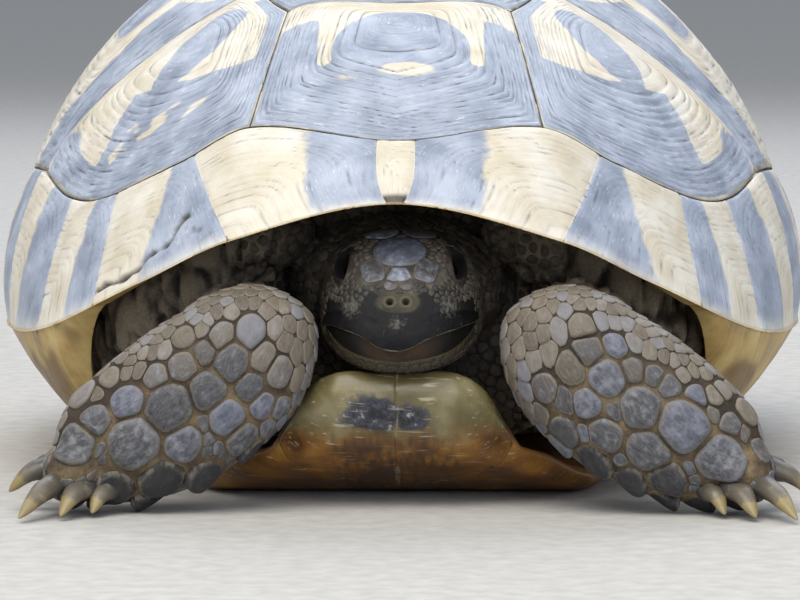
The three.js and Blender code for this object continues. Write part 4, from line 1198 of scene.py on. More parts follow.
def body_skin():
    """One skin over head, neck, trunk, legs and tail."""
    masses = [loft("head_mass", SKULL, -COAT["head"]), loft("neck_mass", NECK, -COAT["neck"]),
              loft("tail_mass", TAIL, -COAT["neck"]), trunk_core()]
    for sign in (1, -1):
        masses.append(loft("shoulder_mass", sided(SHOULDER, sign), -COAT["neck"]))
    for name, specs in limbs():
        masses += [loft(name + "_mass", spec, -COAT["limb"]) for spec in specs]
    skin = joined("skin", masses)
    apply(skin, "REMESH", mode="VOXEL", voxel_size=VOXEL, use_smooth_shade=True)
    apply(skin, "SMOOTH", factor=0.5, iterations=8)
    thin_out(skin)
    points = in_mm(skin)
    arms = np.min([limb_distance(specs[1:], points) for _, _, specs in legs("fore")], axis=0)
    fold = smoothstep(1.05, 1.15, arms) * smoothstep(17, 22, np.abs(points[:, 0]))
    fold = fold * smoothstep(-30, -42, points[:, 1])
    ridge = wrinkles(points)
    points = points + normals_of(skin.data) * column(fold * (ridge - 1.2))
    place(skin, shaped_head(points))
    points = in_mm(skin)
    limb = np.min([limb_distance(specs, points) for _, specs in limbs()], axis=0)
    head = smoothstep(1.05, 1.3, limb) * smoothstep(-20, -50, points[:, 1])
    tone = np.full(len(points), 0.3)
    for _, sign, specs in legs("fore"):
        near = limb_distance(specs, points) < 1.3
        tone[near] = foreleg_tone(specs, sign, points[near])
    nose = 1 - smoothstep(0.9, 2.7, np.linalg.norm((points - NOSE) * [0.5, 0.6, 1], axis=1))
    # socket holds the painted shade in and round the eyes' openings.
    mark(skin, head=head, tone=tone, fold=fold, ridge=ridge, nose=nose, muzzle=muzzle(points),
         rimmed=nostril_rims(points), dust=dusty(points), socket=painted_eye_shade(points))
    return skin


def wrinkles(points):
    """Upright folds of loose skin with sharp creases between them, in mm, close and uneven."""
    along = points * [1, 1, 0.3]
    broad, narrow = noise(along, 2.8, 91), noise(along, 1.3, 92)
    return 2.6 * np.minimum(np.abs(broad), 0.5) + 1.6 * np.minimum(np.abs(narrow), 0.5)


def select_faces(piece, chosen):
    """Edit mode, with exactly these faces of a mesh selected."""
    bpy.ops.object.select_all(action="DESELECT")
    piece.select_set(True)
    bpy.context.view_layer.objects.active = piece
    mesh = piece.data
    mesh.vertices.foreach_set("select", np.zeros(len(mesh.vertices), bool))
    mesh.edges.foreach_set("select", np.zeros(len(mesh.edges), bool))
    mesh.polygons.foreach_set("select", chosen)
    bpy.ops.object.mode_set(mode="EDIT")
    bpy.ops.mesh.select_mode(type="FACE")


def face_centres(piece):
    centres = np.empty(len(piece.data.polygons) * 3)
    piece.data.polygons.foreach_get("center", centres)
    return centres.reshape(-1, 3) / MM - [0, SHIFT, 0]


def refine(piece, chosen):
    select_faces(piece, chosen)
    bpy.ops.mesh.subdivide(number_cuts=1, smoothness=0.5)
    bpy.ops.object.mode_set(mode="OBJECT")


def thin_out(skin):
    """Fewer faces inside the shell, where the skin isn't seen, and finer ones on the head."""
    x, y, z = face_centres(skin).T
    hidden = (y > -48) & (y < 45) & (z > 7) & (np.abs(x) < 62)
    hidden |= (z > 50) & (y < 75)
    select_faces(skin, hidden)
    bpy.ops.mesh.decimate(ratio=0.05)
    bpy.ops.object.mode_set(mode="OBJECT")
    x, y, z = face_centres(skin).T
    head = (y < -79) & (z > 21) & (np.hypot((x - HEAD_X) / 16, (z - 34) / 14) < 1)
    refine(skin, head)
    centres = face_centres(skin)
    fine = np.linalg.norm(centres - NOSE, axis=1) < 3.6
    for sign in (1, -1):
        fine |= np.linalg.norm(centres - eye_frame(sign)[0], axis=1) < 6.2
    refine(skin, fine)


def claw(name, root, tip, width):
    """A claw: arched, blunt, flat beneath, with the quick's grooves along it."""
    root, tip = np.asarray(root, float), np.asarray(tip, float)
    middle = lerp(root, tip, 0.45) + [0, 0, 0.9]
    base = root - 0.25 * (tip - root)
    across = [width * 0.9, width, width * 0.78, 0.5]
    spec = {"path": [base, root, middle, tip], "across": across,
            "toward": [v * 0.85 for v in across], "away": [v * 0.7 for v in across],
            "facing": (0, 0, 1), "cap": 12}
    piece, turn, down = sphere(name, 28, 36)
    u = 0.5 - 0.5 * np.cos(np.pi * down)
    points = on_loft(spec, u, turn)
    lines = 0.05 * np.sin(2 * np.pi * turn * 11) * (1 - u) + 0.1 * rough(points, 2.2, 71)
    heart = curve(spec["path"], u)
    points = points + unit(points - heart + 1e-6) * column(lines * smoothstep(0, 0.1, 1 - np.abs(2 * u - 1)))
    points[:, 2] = np.maximum(points[:, 2], 0.05)
    place(piece, points)
    mark(piece, tip=u)
    return finish(piece, CLAW_HORN, "scaly_skin")


# ---- head --------------------------------------------------------------------------------
NOSE = np.array([HEAD_X - 0.3, -101.5, 35.75])
NOSTRIL_OUT, NOSTRIL_SIZE, NOSTRIL_DEPTH = 1.35, 0.52, 1.5
NOSE_WAY = unit(np.array([0, -0.85, 0.5]))
EYE_OUT, EYE_Y, EYE_Z = 9.5, -89.0, 41.2
EYE_SIZE, BEHIND_LIDS = 3.1, 0.55
SLIT_LENGTH, SLIT_WIDTH, SLIT_DEPTH = 4.7, 1.75, 2.6


def eye_frame(sign):
    """The middle of an eye's opening, its way out, and the ways along and across it."""
    middle = np.array([HEAD_X + sign * EYE_OUT, EYE_Y, EYE_Z])
    out = unit(np.array([sign * 0.78, -0.38, 0.5]))
    along = np.array([sign * 0.34, 0.62, 0.62])
    along = unit(along - out * (along @ out))
    return middle, out, along, np.cross(out, along)


def shaped_head(points):
    """Eye openings with their lids, nostrils, and the folds of the face's skin."""
    points = points.copy()
    for sign in (1, -1):
        middle, out, along, across = eye_frame(sign)
        off = points - middle
        a, b, n = off @ along, off @ across * sign, off @ out
        near = np.exp(-((a / 7) ** 4)) * np.exp(-((b / 5.5) ** 4)) * (np.abs(n) < 5)
        opening = SLIT_WIDTH * np.clip(1 - (a / SLIT_LENGTH) ** 2, 0, 1) ** 0.75
        inside = np.clip(1 - (b / np.maximum(opening, 1e-3)) ** 2, 0, 1)
        depth = SLIT_DEPTH * inside**0.55 * (opening > 0.02)
        away = np.maximum(np.abs(b) - opening, 0)
        ends = smoothstep(SLIT_LENGTH + 1.6, SLIT_LENGTH - 1.6, np.abs(a))
        lid = 0.5 * np.exp(-(((away - 0.45) / 0.5) ** 2)) * (inside == 0) * ends
        crease = 0.3 * np.exp(-(((away - 1.45) / 0.32) ** 2))
        crease += 0.22 * np.exp(-(((away - 2.5) / 0.3) ** 2))
        brow = 0.9 * np.exp(-(((b - 3.6) / 1.5) ** 2)) * np.exp(-((a / 5.5) ** 2))
        points += out * column(near * (lid + brow - depth - crease * ends * (inside == 0)))
    for sign in (1, -1):
        off = points - NOSE - [sign * NOSTRIL_OUT, 0, 0]
        n = off @ NOSE_WAY
        away = np.linalg.norm(off - n[:, None] * NOSE_WAY, axis=1)
        hole = NOSTRIL_DEPTH * smoothstep(NOSTRIL_SIZE * 1.25, NOSTRIL_SIZE * 0.55, away)
        rim = 0.22 * np.exp(-(((away - NOSTRIL_SIZE * 1.75) / 0.4) ** 2))
        points += NOSE_WAY * column((rim - hole) * (np.abs(n) < 2))
    return points


# Lines round the face: degrees from its front about the jaws' upright axis, and height.
MOUTH = [(-100, 31.6), (-70, 31.3), (-45, 31.5), (-30, 31.0), (-20, 30.2), (-13, 28.6), (-6, 27.9),
         (0, 27.8), (5, 28.0), (11, 29.2), (18, 30.1), (29, 31.0), (44, 31.6), (70, 31.9), (100, 32.7)]
UPPER_EDGE = [(-100, 33.0), (-70, 33.7), (-50, 34.6), (-30, 35.2), (-16, 34.8), (-7, 33.6), (0, 33.2),
              (7, 33.6), (16, 34.8), (30, 35.2), (50, 34.6), (70, 33.9), (100, 33.6)]
LOWER_EDGE = [(-100, 30.4), (-70, 30.0), (-50, 28.6), (-35, 27.0), (-20, 25.8), (0, 25.2),
              (20, 25.8), (35, 27.0), (50, 28.6), (70, 30.2), (100, 31.4)]
JAW_AXIS = (HEAD_X - 0.2, -86.0)
SHEATH = 0.7  # how far the beak's horn reaches into the flesh


def from_axis(degrees):
    """The way out of the face at these angles."""
    return np.stack([np.sin(np.radians(degrees)), -np.cos(np.radians(degrees)), 0 * degrees], -1)


def across_face(line, degrees):
    at, height = np.array(line, float).T
    return np.interp(degrees, at, height)


def beak(name, surface, bottom, top, reach, columns, rows, profile, flare=0.0):
    """A horn sheath cast over the jaw: from one line round the face up to another."""
    degrees = np.linspace(-reach, reach, columns)
    low, high = (np.mean([across_face(line, degrees + d) for d in (-4, -2, 0, 2, 4)], axis=0)
                 for line in (bottom, top))
    v = np.linspace(0, 1, rows)
    z = lerp(low[None], high[None], v[:, None])
    starts = np.stack([np.full(z.shape, JAW_AXIS[0]), np.full(z.shape, JAW_AXIS[1]), z], -1)
    ways = np.broadcast_to(from_axis(degrees), starts.shape)
    wall = surface.outwards(starts.reshape(-1, 3), ways.reshape(-1, 3)).reshape(starts.shape)
    ends = smoothstep(reach, reach - 22, np.abs(degrees))
    thick = np.array([profile(share) for share in v])[:, None] * (0.15 + 0.85 * ends)[None]
    ripple = 0.05 * noise(np.stack([degrees[None] + 0 * z, 6 * z, 0 * z], -1).reshape(-1, 3), 3.5, 12)
    outer = wall + ways * (thick + ripple.reshape(z.shape) * ends)[..., None]
    outer[..., 2] -= flare * (1 - v)[:, None] ** 3 * ends
    inner = wall - ways * SHEATH
    inner[..., 2] -= 0.5 * flare * (1 - v)[:, None] ** 3 * ends
    points = np.concatenate([outer, inner[::-1]], axis=0).reshape(-1, 3)
    around = 2 * rows
    faces = []
    for r in range(around):
        a, b = r * columns, (r + 1) % around * columns
        faces += [(a + k, a + k + 1, b + k + 1, b + k) for k in range(columns - 1)]
    faces.append(tuple(r * columns for r in range(around)))
    faces.append(tuple(r * columns + columns - 1 for r in reversed(range(around))))
    piece = new_piece(name)
    piece.data.from_pydata(points.tolist(), [], faces)
    place(piece, points)
    share = np.concatenate([v, v[::-1]])
    mark(piece, up=np.repeat(share, columns), turn=np.tile(degrees / 90, around), dust=dusty(points))
    return piece


def beaks(surface):
    upper = beak("upper_beak", surface, MOUTH, UPPER_EDGE, 98, 130, 22,
                 lambda v: 0.85 * (1 - smoothstep(0.0, 0.9, v)) - 0.1 * v, flare=0.25)
    finish(upper, BEAK, "head_skin")
    lower = beak("lower_beak", surface, LOWER_EDGE, [(d, z + 0.7) for d, z in MOUTH], 80, 110, 14,
                 lambda v: 0.1 + 0.3 * smoothstep(0, 0.25, v))
    finish(lower, LOWER_BEAK, "head_skin")


ABOVE_SKULL = 60.0  # the shields are set down on the head from here
# Places round the nose without scales: out from its middle, and up.
AROUND_NOSE = [(0, 0), (-1.9, 0.1), (1.9, 0.1), (-4.2, 0.6), (4.2, 0.6), (0, -1.7), (-2.6, -1.6),
               (2.6, -1.6), (-5.4, -1.2), (5.4, -1.2)]
# Shields of the head: out from its middle, along, radius, length against breadth, tone.
SHIELDS = [
    (-4.6, -96.2, 3.3, 1.7, 0.45), (4.4, -96.2, 3.3, 1.7, 0.45), (-0.1, -91.8, 5.0, 0.95, 1.0),
    (-0.2, -97.8, 2.3, 0.72, 1.0), (-1.5, -99.6, 1.2, 0.8, 0.3), (1.1, -99.6, 1.2, 0.8, 0.3),
    (-3.4, -84.0, 3.3, 1.1, 0.6), (3.2, -83.8, 3.3, 1.1, 0.6),
    (-0.2, -78.0, 3.1, 1.0, 0.35), (-6.2, -77.0, 3.1, 1.0, 0.3), (6.0, -76.7, 3.1, 1.0, 0.3),
    (-8.6, -83.8, 2.9, 1.3, 0.1), (8.6, -83.8, 2.9, 1.3, 0.1), (-11.0, -78.4, 2.4, 1.0, 0.15),
    (11.0, -78.4, 2.4, 1.0, 0.15),
]


def muzzle(points):
    """1 on the skin right above the beak's upper edge, which is as dark as the beak."""
    x, y, z = points.T
    degrees = np.degrees(np.arctan2(x - JAW_AXIS[0], JAW_AXIS[1] - y))
    above = z - across_face(UPPER_EDGE, degrees)
    beside = (y < -78) & (np.abs(x - HEAD_X) < 16)
    return smoothstep(4.2, 0.6, above) * smoothstep(-4, -1, above) * beside


def nostril_rims(points):
    """1 on the pale rims round the nostrils."""
    off = [points - NOSE - [out, 0, 0] for out in (NOSTRIL_OUT, -NOSTRIL_OUT)]
    away = np.linalg.norm(off, axis=2).min(axis=0)
    return 0.4 * np.exp(-(((away - 0.9) / 0.25) ** 2))


def painted_eye_shade(points):
    """1 where shade is painted on the skin in and round the eyes' openings."""
    found = np.zeros(len(points))
    for sign in (1, -1):
        middle, out, along, across = eye_frame(sign)
        off = points - middle
        away = np.hypot(off @ along / 4.6, off @ across / 2.5)
        found = np.maximum(found, smoothstep(1.25, 0.75, away) * (np.abs(off @ out) < 5))
    return found


def dusty(points):
    """How much dust lies on the face: under the nose, on the cheeks before the eyes."""
    out = points - [HEAD_X, 0, 0]
    side = np.abs(out[:, 0])
    under = spot(out, (-0.4, -102, 32.2), (2.0, 6, 1.7))
    cheeks = spot(np.stack([side, out[:, 1], out[:, 2]], -1), (8.2, -97, 35.2), (2.6, 9, 3.2))
    return 0.55 * under + 0.6 * cheeks


def coat_head(surface):
    """Shields over the skull, a row of scales under the lower beak, granules elsewhere."""
    x, y, radius, stretch, tone = np.array(SHIELDS, float).T
    over = np.stack([HEAD_X + x, y, np.full(len(x), ABOVE_SKULL)], -1)
    places = surface.outwards(over, np.broadcast_to([0.0, 0.0, -1.0], over.shape))
    # Places that scales keep away from: eyes, nose, beak.
    bare, _ = surface.snap(np.array([NOSE + [out, 0, up] for out, up in AROUND_NOSE]))
    bare, bare_radius = list(bare), [1.5] * len(bare)
    for sign in (1, -1):
        middle, _, along, _ = eye_frame(sign)
        for off in (-3.4, -1.2, 1.2, 3.4):
            bare.append(middle + along * off)
            bare_radius.append(2.5 - 0.25 * abs(off) / 3.4)
    degrees = np.arange(-76, 77, 7.2)
    way = from_axis(degrees)
    height = across_face(LOWER_EDGE, degrees) - 0.85
    starts = np.stack([np.full(len(degrees), JAW_AXIS[0]), np.full(len(degrees), JAW_AXIS[1]), height], -1)
    lips = surface.outwards(starts, way)
    lip_radius = np.full(len(lips), 0.9)
    for line, lift in ((MOUTH, 0.0), (MOUTH, 2.0), (UPPER_EDGE, -1.0)):
        starts[:, 2] = across_face(line, degrees) + lift
        bare += list(surface.outwards(starts, way))
        bare_radius += [1.25] * len(degrees)
    for drop in (1.2, 2.4):
        starts[:, 2] = across_face(LOWER_EDGE, degrees) + drop
        inside = starts[:, 2] < across_face(MOUTH, degrees) + 0.5
        bare += list(surface.outwards(starts[inside], way[inside]))
        bare_radius += [0.9] * int(inside.sum())
    bare, bare_radius = np.array(bare), np.array(bare_radius)
    fixed = np.concatenate([places, lips, bare])
    fixed_radius = np.concatenate([radius, lip_radius, bare_radius])
    points = surface.points
    x, y, z = points.T
    own = (y < -62) & (np.abs(x - HEAD_X) < 17) & (z > 21) & (z < 50)
    own &= ~((y > -74) & (np.abs(surface.normals[:, 1]) > 0.8))
    own[own] = np.min([limb_distance(specs, points[own]) for _, _, specs in legs("fore")], axis=0) > 1.2
    points = points[own]
    r = 0.62 + 0.5 * smoothstep(-96, -74, points[:, 1])
    beside_eye = np.min([np.linalg.norm(points - eye_frame(s)[0], axis=1) for s in (1, -1)], axis=0)
    r = np.where(beside_eye < 6.5, 0.62, r)
    grains, grain_radius = scatter(points, r, 9, fixed, fixed_radius, relax=2)
    unwrap = round_unwrap((HEAD_X, -106, 34), (HEAD_X, -60, 34))
    # Scales point backwards along the head; those of the lip a little down as well.
    shields = lay_scales(
        "head_shields", surface, places, radius, (0, 1, 0), "plate", unwrap, sides=40, gap=0.12,
        height=0.2 + 0.02 * radius, stretch=stretch, tip=0.0, tone=tone, limit=1.05,
        crowd=np.concatenate([lips, bare, grains]),
        crowd_radius=np.concatenate([lip_radius, bare_radius, grain_radius]))
    finish(shields, SHIELD, "head_skin")
    lip_row = lay_scales(
        "lip_scales", surface, lips, lip_radius, (0, 1, -0.5), "plate", unwrap, sides=18, gap=0.05,
        height=0.18, stretch=0.8, tip=0.1, tone=0.5, limit=1.2, crowd=np.concatenate([bare, grains]),
        crowd_radius=np.concatenate([bare_radius, grain_radius]))
    finish(lip_row, LIP_HORN, "head_skin")
    small = lay_scales(
        "head_granules", surface, grains, grain_radius, (0, 1, 0), "grain", unwrap, sides=9, gap=0.14,
        height=0.12 + 0.14 * grain_radius, tip=0.2, tone=0.1 + 0.9 * smoothstep(-92, -97, grains[:, 1]),
        limit=1.2, crowd=fixed, crowd_radius=fixed_radius)
    finish(small, GRANULE, "head_skin")


def eyes():
    """Dark glossy eyeballs behind the lids' openings."""
    for side, sign in SIDES:
        middle, out, _, _ = eye_frame(sign)
        piece, _, _ = sphere(f"eye_{side}", 48, 32)
        centre = middle - out * (EYE_SIZE + BEHIND_LIDS)
        points = unit(vertices(piece)) * EYE_SIZE + centre
        place(piece, points)
        gaze = unit(np.array([sign * 0.72, -0.55, 0.4]))
        off = np.arccos(np.clip((points - centre) @ gaze / EYE_SIZE, -1, 1))
        mark(piece, off_pupil=np.degrees(off) / 90)
        finish(piece, EYE, "eye", f"eye_{side}")


# ---- scales ------------------------------------------------------------------------------
class Surface:
    """The finished skin, to lay scales on: its points, and the nearest point to any other."""

    def __init__(self, piece):
        self.points = in_mm(piece)
        mesh = piece.data
        self.normals = normals_of(mesh)
        mesh.calc_loop_triangles()
        corners = np.empty(len(mesh.loop_triangles) * 3, np.int32)
        mesh.loop_triangles.foreach_get("vertices", corners)
        self.tree = BVHTree.FromPolygons(self.points.tolist(), corners.reshape(-1, 3).tolist())

    def snap(self, points):
        found = [self.tree.find_nearest(Vector(p))[:2] for p in points.tolist()]
        return np.array([f[0] for f in found]), np.array([f[1] for f in found])

    def outwards(self, starts, ways):
        """Where lines from inside the body leave it."""
        hits = [self.tree.ray_cast(Vector(a), Vector(b))[0] for a, b in zip(starts.tolist(), ways.tolist())]
        return np.array([a if hit is None else hit for a, hit in zip(starts.tolist(), hits)])


def nearest(points, centres, count):
    """The indices of the centres nearest to each point."""
    tree = KDTree(len(centres))
    for i, p in enumerate(centres.tolist()):
        tree.insert(p, i)
    tree.balance()
    found = [[hit[1] for hit in tree.find_n(p, count)] for p in points.tolist()]
    return np.array([row + row[:1] * (count - len(row)) for row in found])


PACKED = 0.84  # seeds lie at least this share of the sum of their radii apart
AROUND_CELL = [(x - 1, y - 1, z - 1) for x, y, z in np.ndindex(3, 3, 3)]


def scatter(points, radius, seed, fixed=None, fixed_radius=None, relax=3, squash=1.0):
    """Evenly spread seeds over the points of a surface, each clear of the rest by most of
    the sum of their radii, round seeds that are already there. Returns places and radii. Below 1,
    squash sets them further apart up and down than across."""
    order = np.random.default_rng(seed).permutation(len(points))
    points = points * [1, 1, squash]
    fixed = np.zeros((0, 3)) if fixed is None else fixed * [1, 1, squash]
    fixed_radius = np.zeros(0) if fixed_radius is None else fixed_radius
    size = max(2.2 * radius.max(), 1.0)
    cells = {}
    kept = []

    def clear(p, r, key):
        for x, y, z in AROUND_CELL:
            for q, other in cells.get((key[0] + x, key[1] + y, key[2] + z), ()):
                away = (p[0] - q[0]) ** 2 + (p[1] - q[1]) ** 2 + (p[2] - q[2]) ** 2
                if away < (PACKED * (r + other)) ** 2:
                    return False
        return True

    free = np.ones(len(points), bool)
    for q, r in zip(fixed, fixed_radius):
        free &= np.sum((points - q) ** 2, axis=1) > (0.95 * r + 0.8 * radius) ** 2
    for i in order[free[order]]:
        p, r = points[i], radius[i]
        key = tuple(int(v) for v in np.floor(p / size))
        if clear(p, r, key):
            kept.append(i)
            cells.setdefault(key, []).append((p, r))
    seeds, sizes = points[kept].copy(), radius[kept].copy()
    open_points = points[free]
    for _ in range(relax):
        owner = nearest(open_points, seeds, 1)[:, 0]
        count = np.bincount(owner, minlength=len(seeds))
        for axis in range(3):
            summed = np.bincount(owner, open_points[:, axis], len(seeds))
            seeds[:, axis] = np.where(count > 0, summed / np.maximum(count, 1), seeds[:, axis])
    return seeds / [1, 1, squash], sizes


# How a scale rises from its root to its middle: share of its radius, share of its height.
PROFILE = {
    "pebble": [(0.97, -0.55), (1.0, 0.1), (0.98, 0.45), (0.9, 0.78), (0.72, 1.0), (0.42, 1.1)],
    "plate": [(0.98, -0.6), (1.0, 0.3), (0.97, 0.72), (0.86, 0.97), (0.5, 1.06)],
    "grain": [(0.95, -0.7), (1.0, 0.35), (0.78, 0.9), (0.4, 1.06)],
}
PATCH = 0.003  # a scale's own patch of the UV map is this far across
ON_FLOOR = 0.02  # nothing of a scale lies lower than this
NEIGHBOURS = 16  # that a scale's outline is drawn between
CORNERED = 14  # the higher, the sharper the corners where scales meet
TOO_NARROW = 0.22  # scales squeezed to less than this share of their radius are left out
APART = 40  # how far apart scales lie in the texture of their kind, as they differ in shade


def lay_scales(name, surface, seeds, radius, lie, profile, unwrap, gap, height, tip, tone, limit,
               sides=14, stretch=1.0, crowd=None, crowd_radius=None, squash=1.0):
    """Scales as closed raised plates over the skin: each fills the space between its
    neighbours, up to its own size, and rises along its lie by `tip`. crowd are seeds of
    other pieces that also bound these."""
    each = np.ones(len(seeds))
    gap, height, stretch, tip, tone, limit = (each * v for v in (gap, height, stretch, tip, tone, limit))
    at, normal = surface.snap(seeds)
    lie = unit(lie - normal * column(np.sum(lie * normal, axis=1)))
    side = np.cross(normal, lie)
    everyone = at if crowd is None else np.concatenate([at, crowd])
    sizes = radius if crowd is None else np.concatenate([radius, crowd_radius])
    # Scales laid out in a squashed space are longer along their lie by this much.
    longer = (1 - lie[:, 2] ** 2 * (1 - squash**2)) ** -0.5
    idx = nearest(at, everyone, min(NEIGHBOURS, len(everyone)))
    offset = everyone[idx] - at[:, None]
    ahead, beside = np.einsum("nkj,nj->nk", offset, lie), np.einsum("nkj,nj->nk", offset, side)
    ahead = ahead / longer[:, None]
    apart = np.hypot(ahead, beside)
    same = np.linalg.norm(offset, axis=2) < 1e-4
    apart = np.where(same, 1, np.maximum(apart, 1e-3))
    bound = (apart**2 + radius[:, None] ** 2 - sizes[idx] ** 2) / (2 * apart) - gap[:, None] / 2
    angle = 2 * np.pi * np.arange(sides) / sides
    c, s = np.cos(angle), np.sin(angle)
    facing = (ahead[..., None] * c + beside[..., None] * s) / apart[..., None]
    walls = np.where((facing > 0.1) & ~same[..., None], bound[..., None] / np.maximum(facing, 0.1), 1e3)
    walls = np.maximum(walls, 0.05)
    own = (limit * radius)[:, None] / np.hypot(c / stretch[:, None], s * stretch[:, None])
    out = (np.sum(walls ** -CORNERED, axis=1) + own ** -CORNERED) ** (-1 / CORNERED)
    good = out.min(axis=1) > TOO_NARROW * radius
    at, normal, lie, side, out = at[good], normal[good], lie[good], side[good], out[good]
    height, tip, tone, count = height[good], tip[good], tone[good], int(good.sum())
    ahead = (out * c * longer[good, None])[..., None]
    flat = at[:, None] + lie[:, None] * ahead + side[:, None] * (out * s)[..., None]
    edge, edge_normal = surface.snap(flat.reshape(-1, 3))
    edge, edge_normal = edge.reshape(count, sides, 3), edge_normal.reshape(count, sides, 3)
    # Where the skin turns sharply a scale keeps to its own plane.
    drift = edge - flat
    drift *= np.minimum(1, 0.6 * out / np.maximum(np.linalg.norm(drift, axis=2), 1e-6))[..., None]
    edge = flat + drift
    edge_normal = unit(edge_normal + normal[:, None])
    sag = np.maximum(np.einsum("nkj,nj->nk", at[:, None] - edge, normal), 0).mean(axis=1)
    rows = []
    # A tipped scale's top lies this much further along its lie.
    shift = 0.12 * tip * out.mean(axis=1)
    for share, rise in PROFILE[profile]:
        ring = lerp(at[:, None], edge, share) + normal[:, None] * (sag * (share - share**2))[:, None, None]
        lean = 1 + tip[:, None] * c * share
        way = unit(lerp(normal[:, None], edge_normal, share))
        ring = ring + way * (height[:, None] * (rise * np.where(rise > 0, lean, 1)))[..., None]
        if rise > 0:
            ring = ring + lie[:, None] * (shift * (1 - share))[:, None, None]
        rows.append(ring)
    top = at + normal * column(height * 1.12) + lie * column(shift)
    bottom = at - normal * column(0.6 * height + 0.1)
    block = np.concatenate([np.stack(rows, 1).reshape(count, -1, 3), top[:, None], bottom[:, None]], axis=1)
    # Nothing sinks into the floor: a scale under a limb is pressed flat on it.
    block[..., 2] = np.maximum(block[..., 2], ON_FLOOR)
    per = block.shape[1]
    piece, loops = many_alike(name, block, scale_faces(len(rows), sides))
    share = np.concatenate([np.repeat([p[0] for p in PROFILE[profile]], sides), [0, 0.97]])
    around = np.concatenate([np.tile(angle, len(rows)), [0, 0]])
    on_scale = np.stack([share * np.cos(around), share * np.sin(around)], -1)[None]
    # Each scale's own patch of the unwrapped skin, PATCH across at its root's place.
    uv = (unwrap(at)[:, None] + on_scale * PATCH / 2).reshape(-1, 2)
    layer = piece.data.uv_layers.new(name="OFBake")
    layer.data.foreach_set("uv", uv[loops].astype(np.float32).ravel())
    shade = np.random.default_rng(len(name) * 31 + count).uniform(0, 1, count)
    own_at = np.empty((count, per, 3))
    own_at[..., :2] = on_scale * out.mean(axis=1)[:, None, None]
    own_at[..., 2] = shade[:, None] * APART
    mark(piece, tone=np.repeat(tone, per), shade=np.repeat(shade, per), rim=np.tile(share, count),
         scale_at=own_at.reshape(-1, 3))
    return piece


def scale_faces(rings, sides):
    """The faces of one scale: walls between its rings, then its top and its bottom, fanned
    round the last two points."""
    following = [(k, (k + 1) % sides) for k in range(sides)]
    faces = []
    for low in range(0, (rings - 1) * sides, sides):
        high = low + sides
        faces += [(low + k, low + n, high + n, high + k) for k, n in following]
    rim, top, bottom = (rings - 1) * sides, rings * sides, rings * sides + 1
    for k, n in following:
        faces += [(rim + k, rim + n, top), (n, k, bottom)]
    return faces


def many_alike(name, blocks, faces):
    """A piece made of many separate solids with the same faces, each a block of points in
    mm. Returns the piece and the points of its face corners."""
    count, per, _ = blocks.shape
    corners = np.array([v for face in faces for v in face])
    loops = (corners[None] + per * np.arange(count)[:, None]).ravel()
    totals = np.tile([len(face) for face in faces], count)
    starts = np.concatenate([[0], np.cumsum(totals)[:-1]])
    piece = new_piece(name)
    mesh = piece.data
    mesh.vertices.add(count * per)
    mesh.loops.add(len(loops))
    mesh.polygons.add(len(totals))
    mesh.loops.foreach_set("vertex_index", loops.astype(np.int32))
    mesh.polygons.foreach_set("loop_start", starts.astype(np.int32))
    mesh.vertices.foreach_set("co", ((blocks.reshape(-1, 3) + [0, SHIFT, 0]) * MM).ravel())
    mesh.update(calc_edges=True)
    mesh.polygons.foreach_set("use_smooth", np.ones(len(totals), bool))
    return piece, loops


def on_map(along, round_it):
    """Both shares in the UV map, clear of its edges by a hundredth."""
    return 0.01 + 0.98 * np.stack([along, round_it], -1)


def round_unwrap(start, end):
    """Unwraps the skin round a line: along it for U, round it for V."""
    start, end = np.asarray(start, float), np.asarray(end, float)
    axis = unit(end - start)
    across = unit(np.cross(axis, [0.31, 0.2, 0.93]))
    up = np.cross(axis, across)

    def unwrap(points):
        off = points - start
        u = np.clip(off @ axis / np.linalg.norm(end - start), 0, 1)
        v = np.arctan2(off @ up, off @ across) / (2 * np.pi) % 1
        return on_map(u, v)
    return unwrap


def seen_from(spec, points, samples):
    """Each point as seen from the nearest place on a loft's path: the place's share of the
    path and tangent, how far the point is from it across, to the front and along, and the
    loft's half sizes there across and on the point's side."""
    u = np.linspace(0, 1, samples)
    centre, tangent, right, front, (across, toward, away) = frame_along(spec, u)
    i = nearest(points, centre, 1)[:, 0]
    off = points - centre[i]
    x, y, t = (np.sum(off * way[i], axis=1) for way in (right, front, tangent))
    return u[i], tangent[i], x, y, t, across[i], np.where(y > 0, toward[i], away[i])


def along_limb(specs, points):
    """Where points lie on a limb: which loft, share of its path, turn round it, tangent."""
    best = np.full(len(points), 1e9)
    part = np.zeros(len(points), int)
    share, turn = np.zeros(len(points)), np.zeros(len(points))
    way = np.zeros((len(points), 3))
    for k, spec in enumerate(specs):
        u, tangent, x, y, t, width, depth = seen_from(spec, points, 48)
        size = np.sqrt((x / width) ** 2 + (y / depth) ** 2 + (t / width) ** 2)
        closer = size < best
        best = np.where(closer, size, best)
        part = np.where(closer, k, part)
        share = np.where(closer, u, share)
        turn = np.where(closer, np.arctan2(y / depth, x / width) / (2 * np.pi) % 1, turn)
        way = np.where(closer[:, None], tangent, way)
    return part, share, turn, way


def limb_unwrap(specs):
    def unwrap(points):
        part, share, turn, _ = along_limb(specs, points)
        return on_map((part + share) / len(specs), turn)
    return unwrap


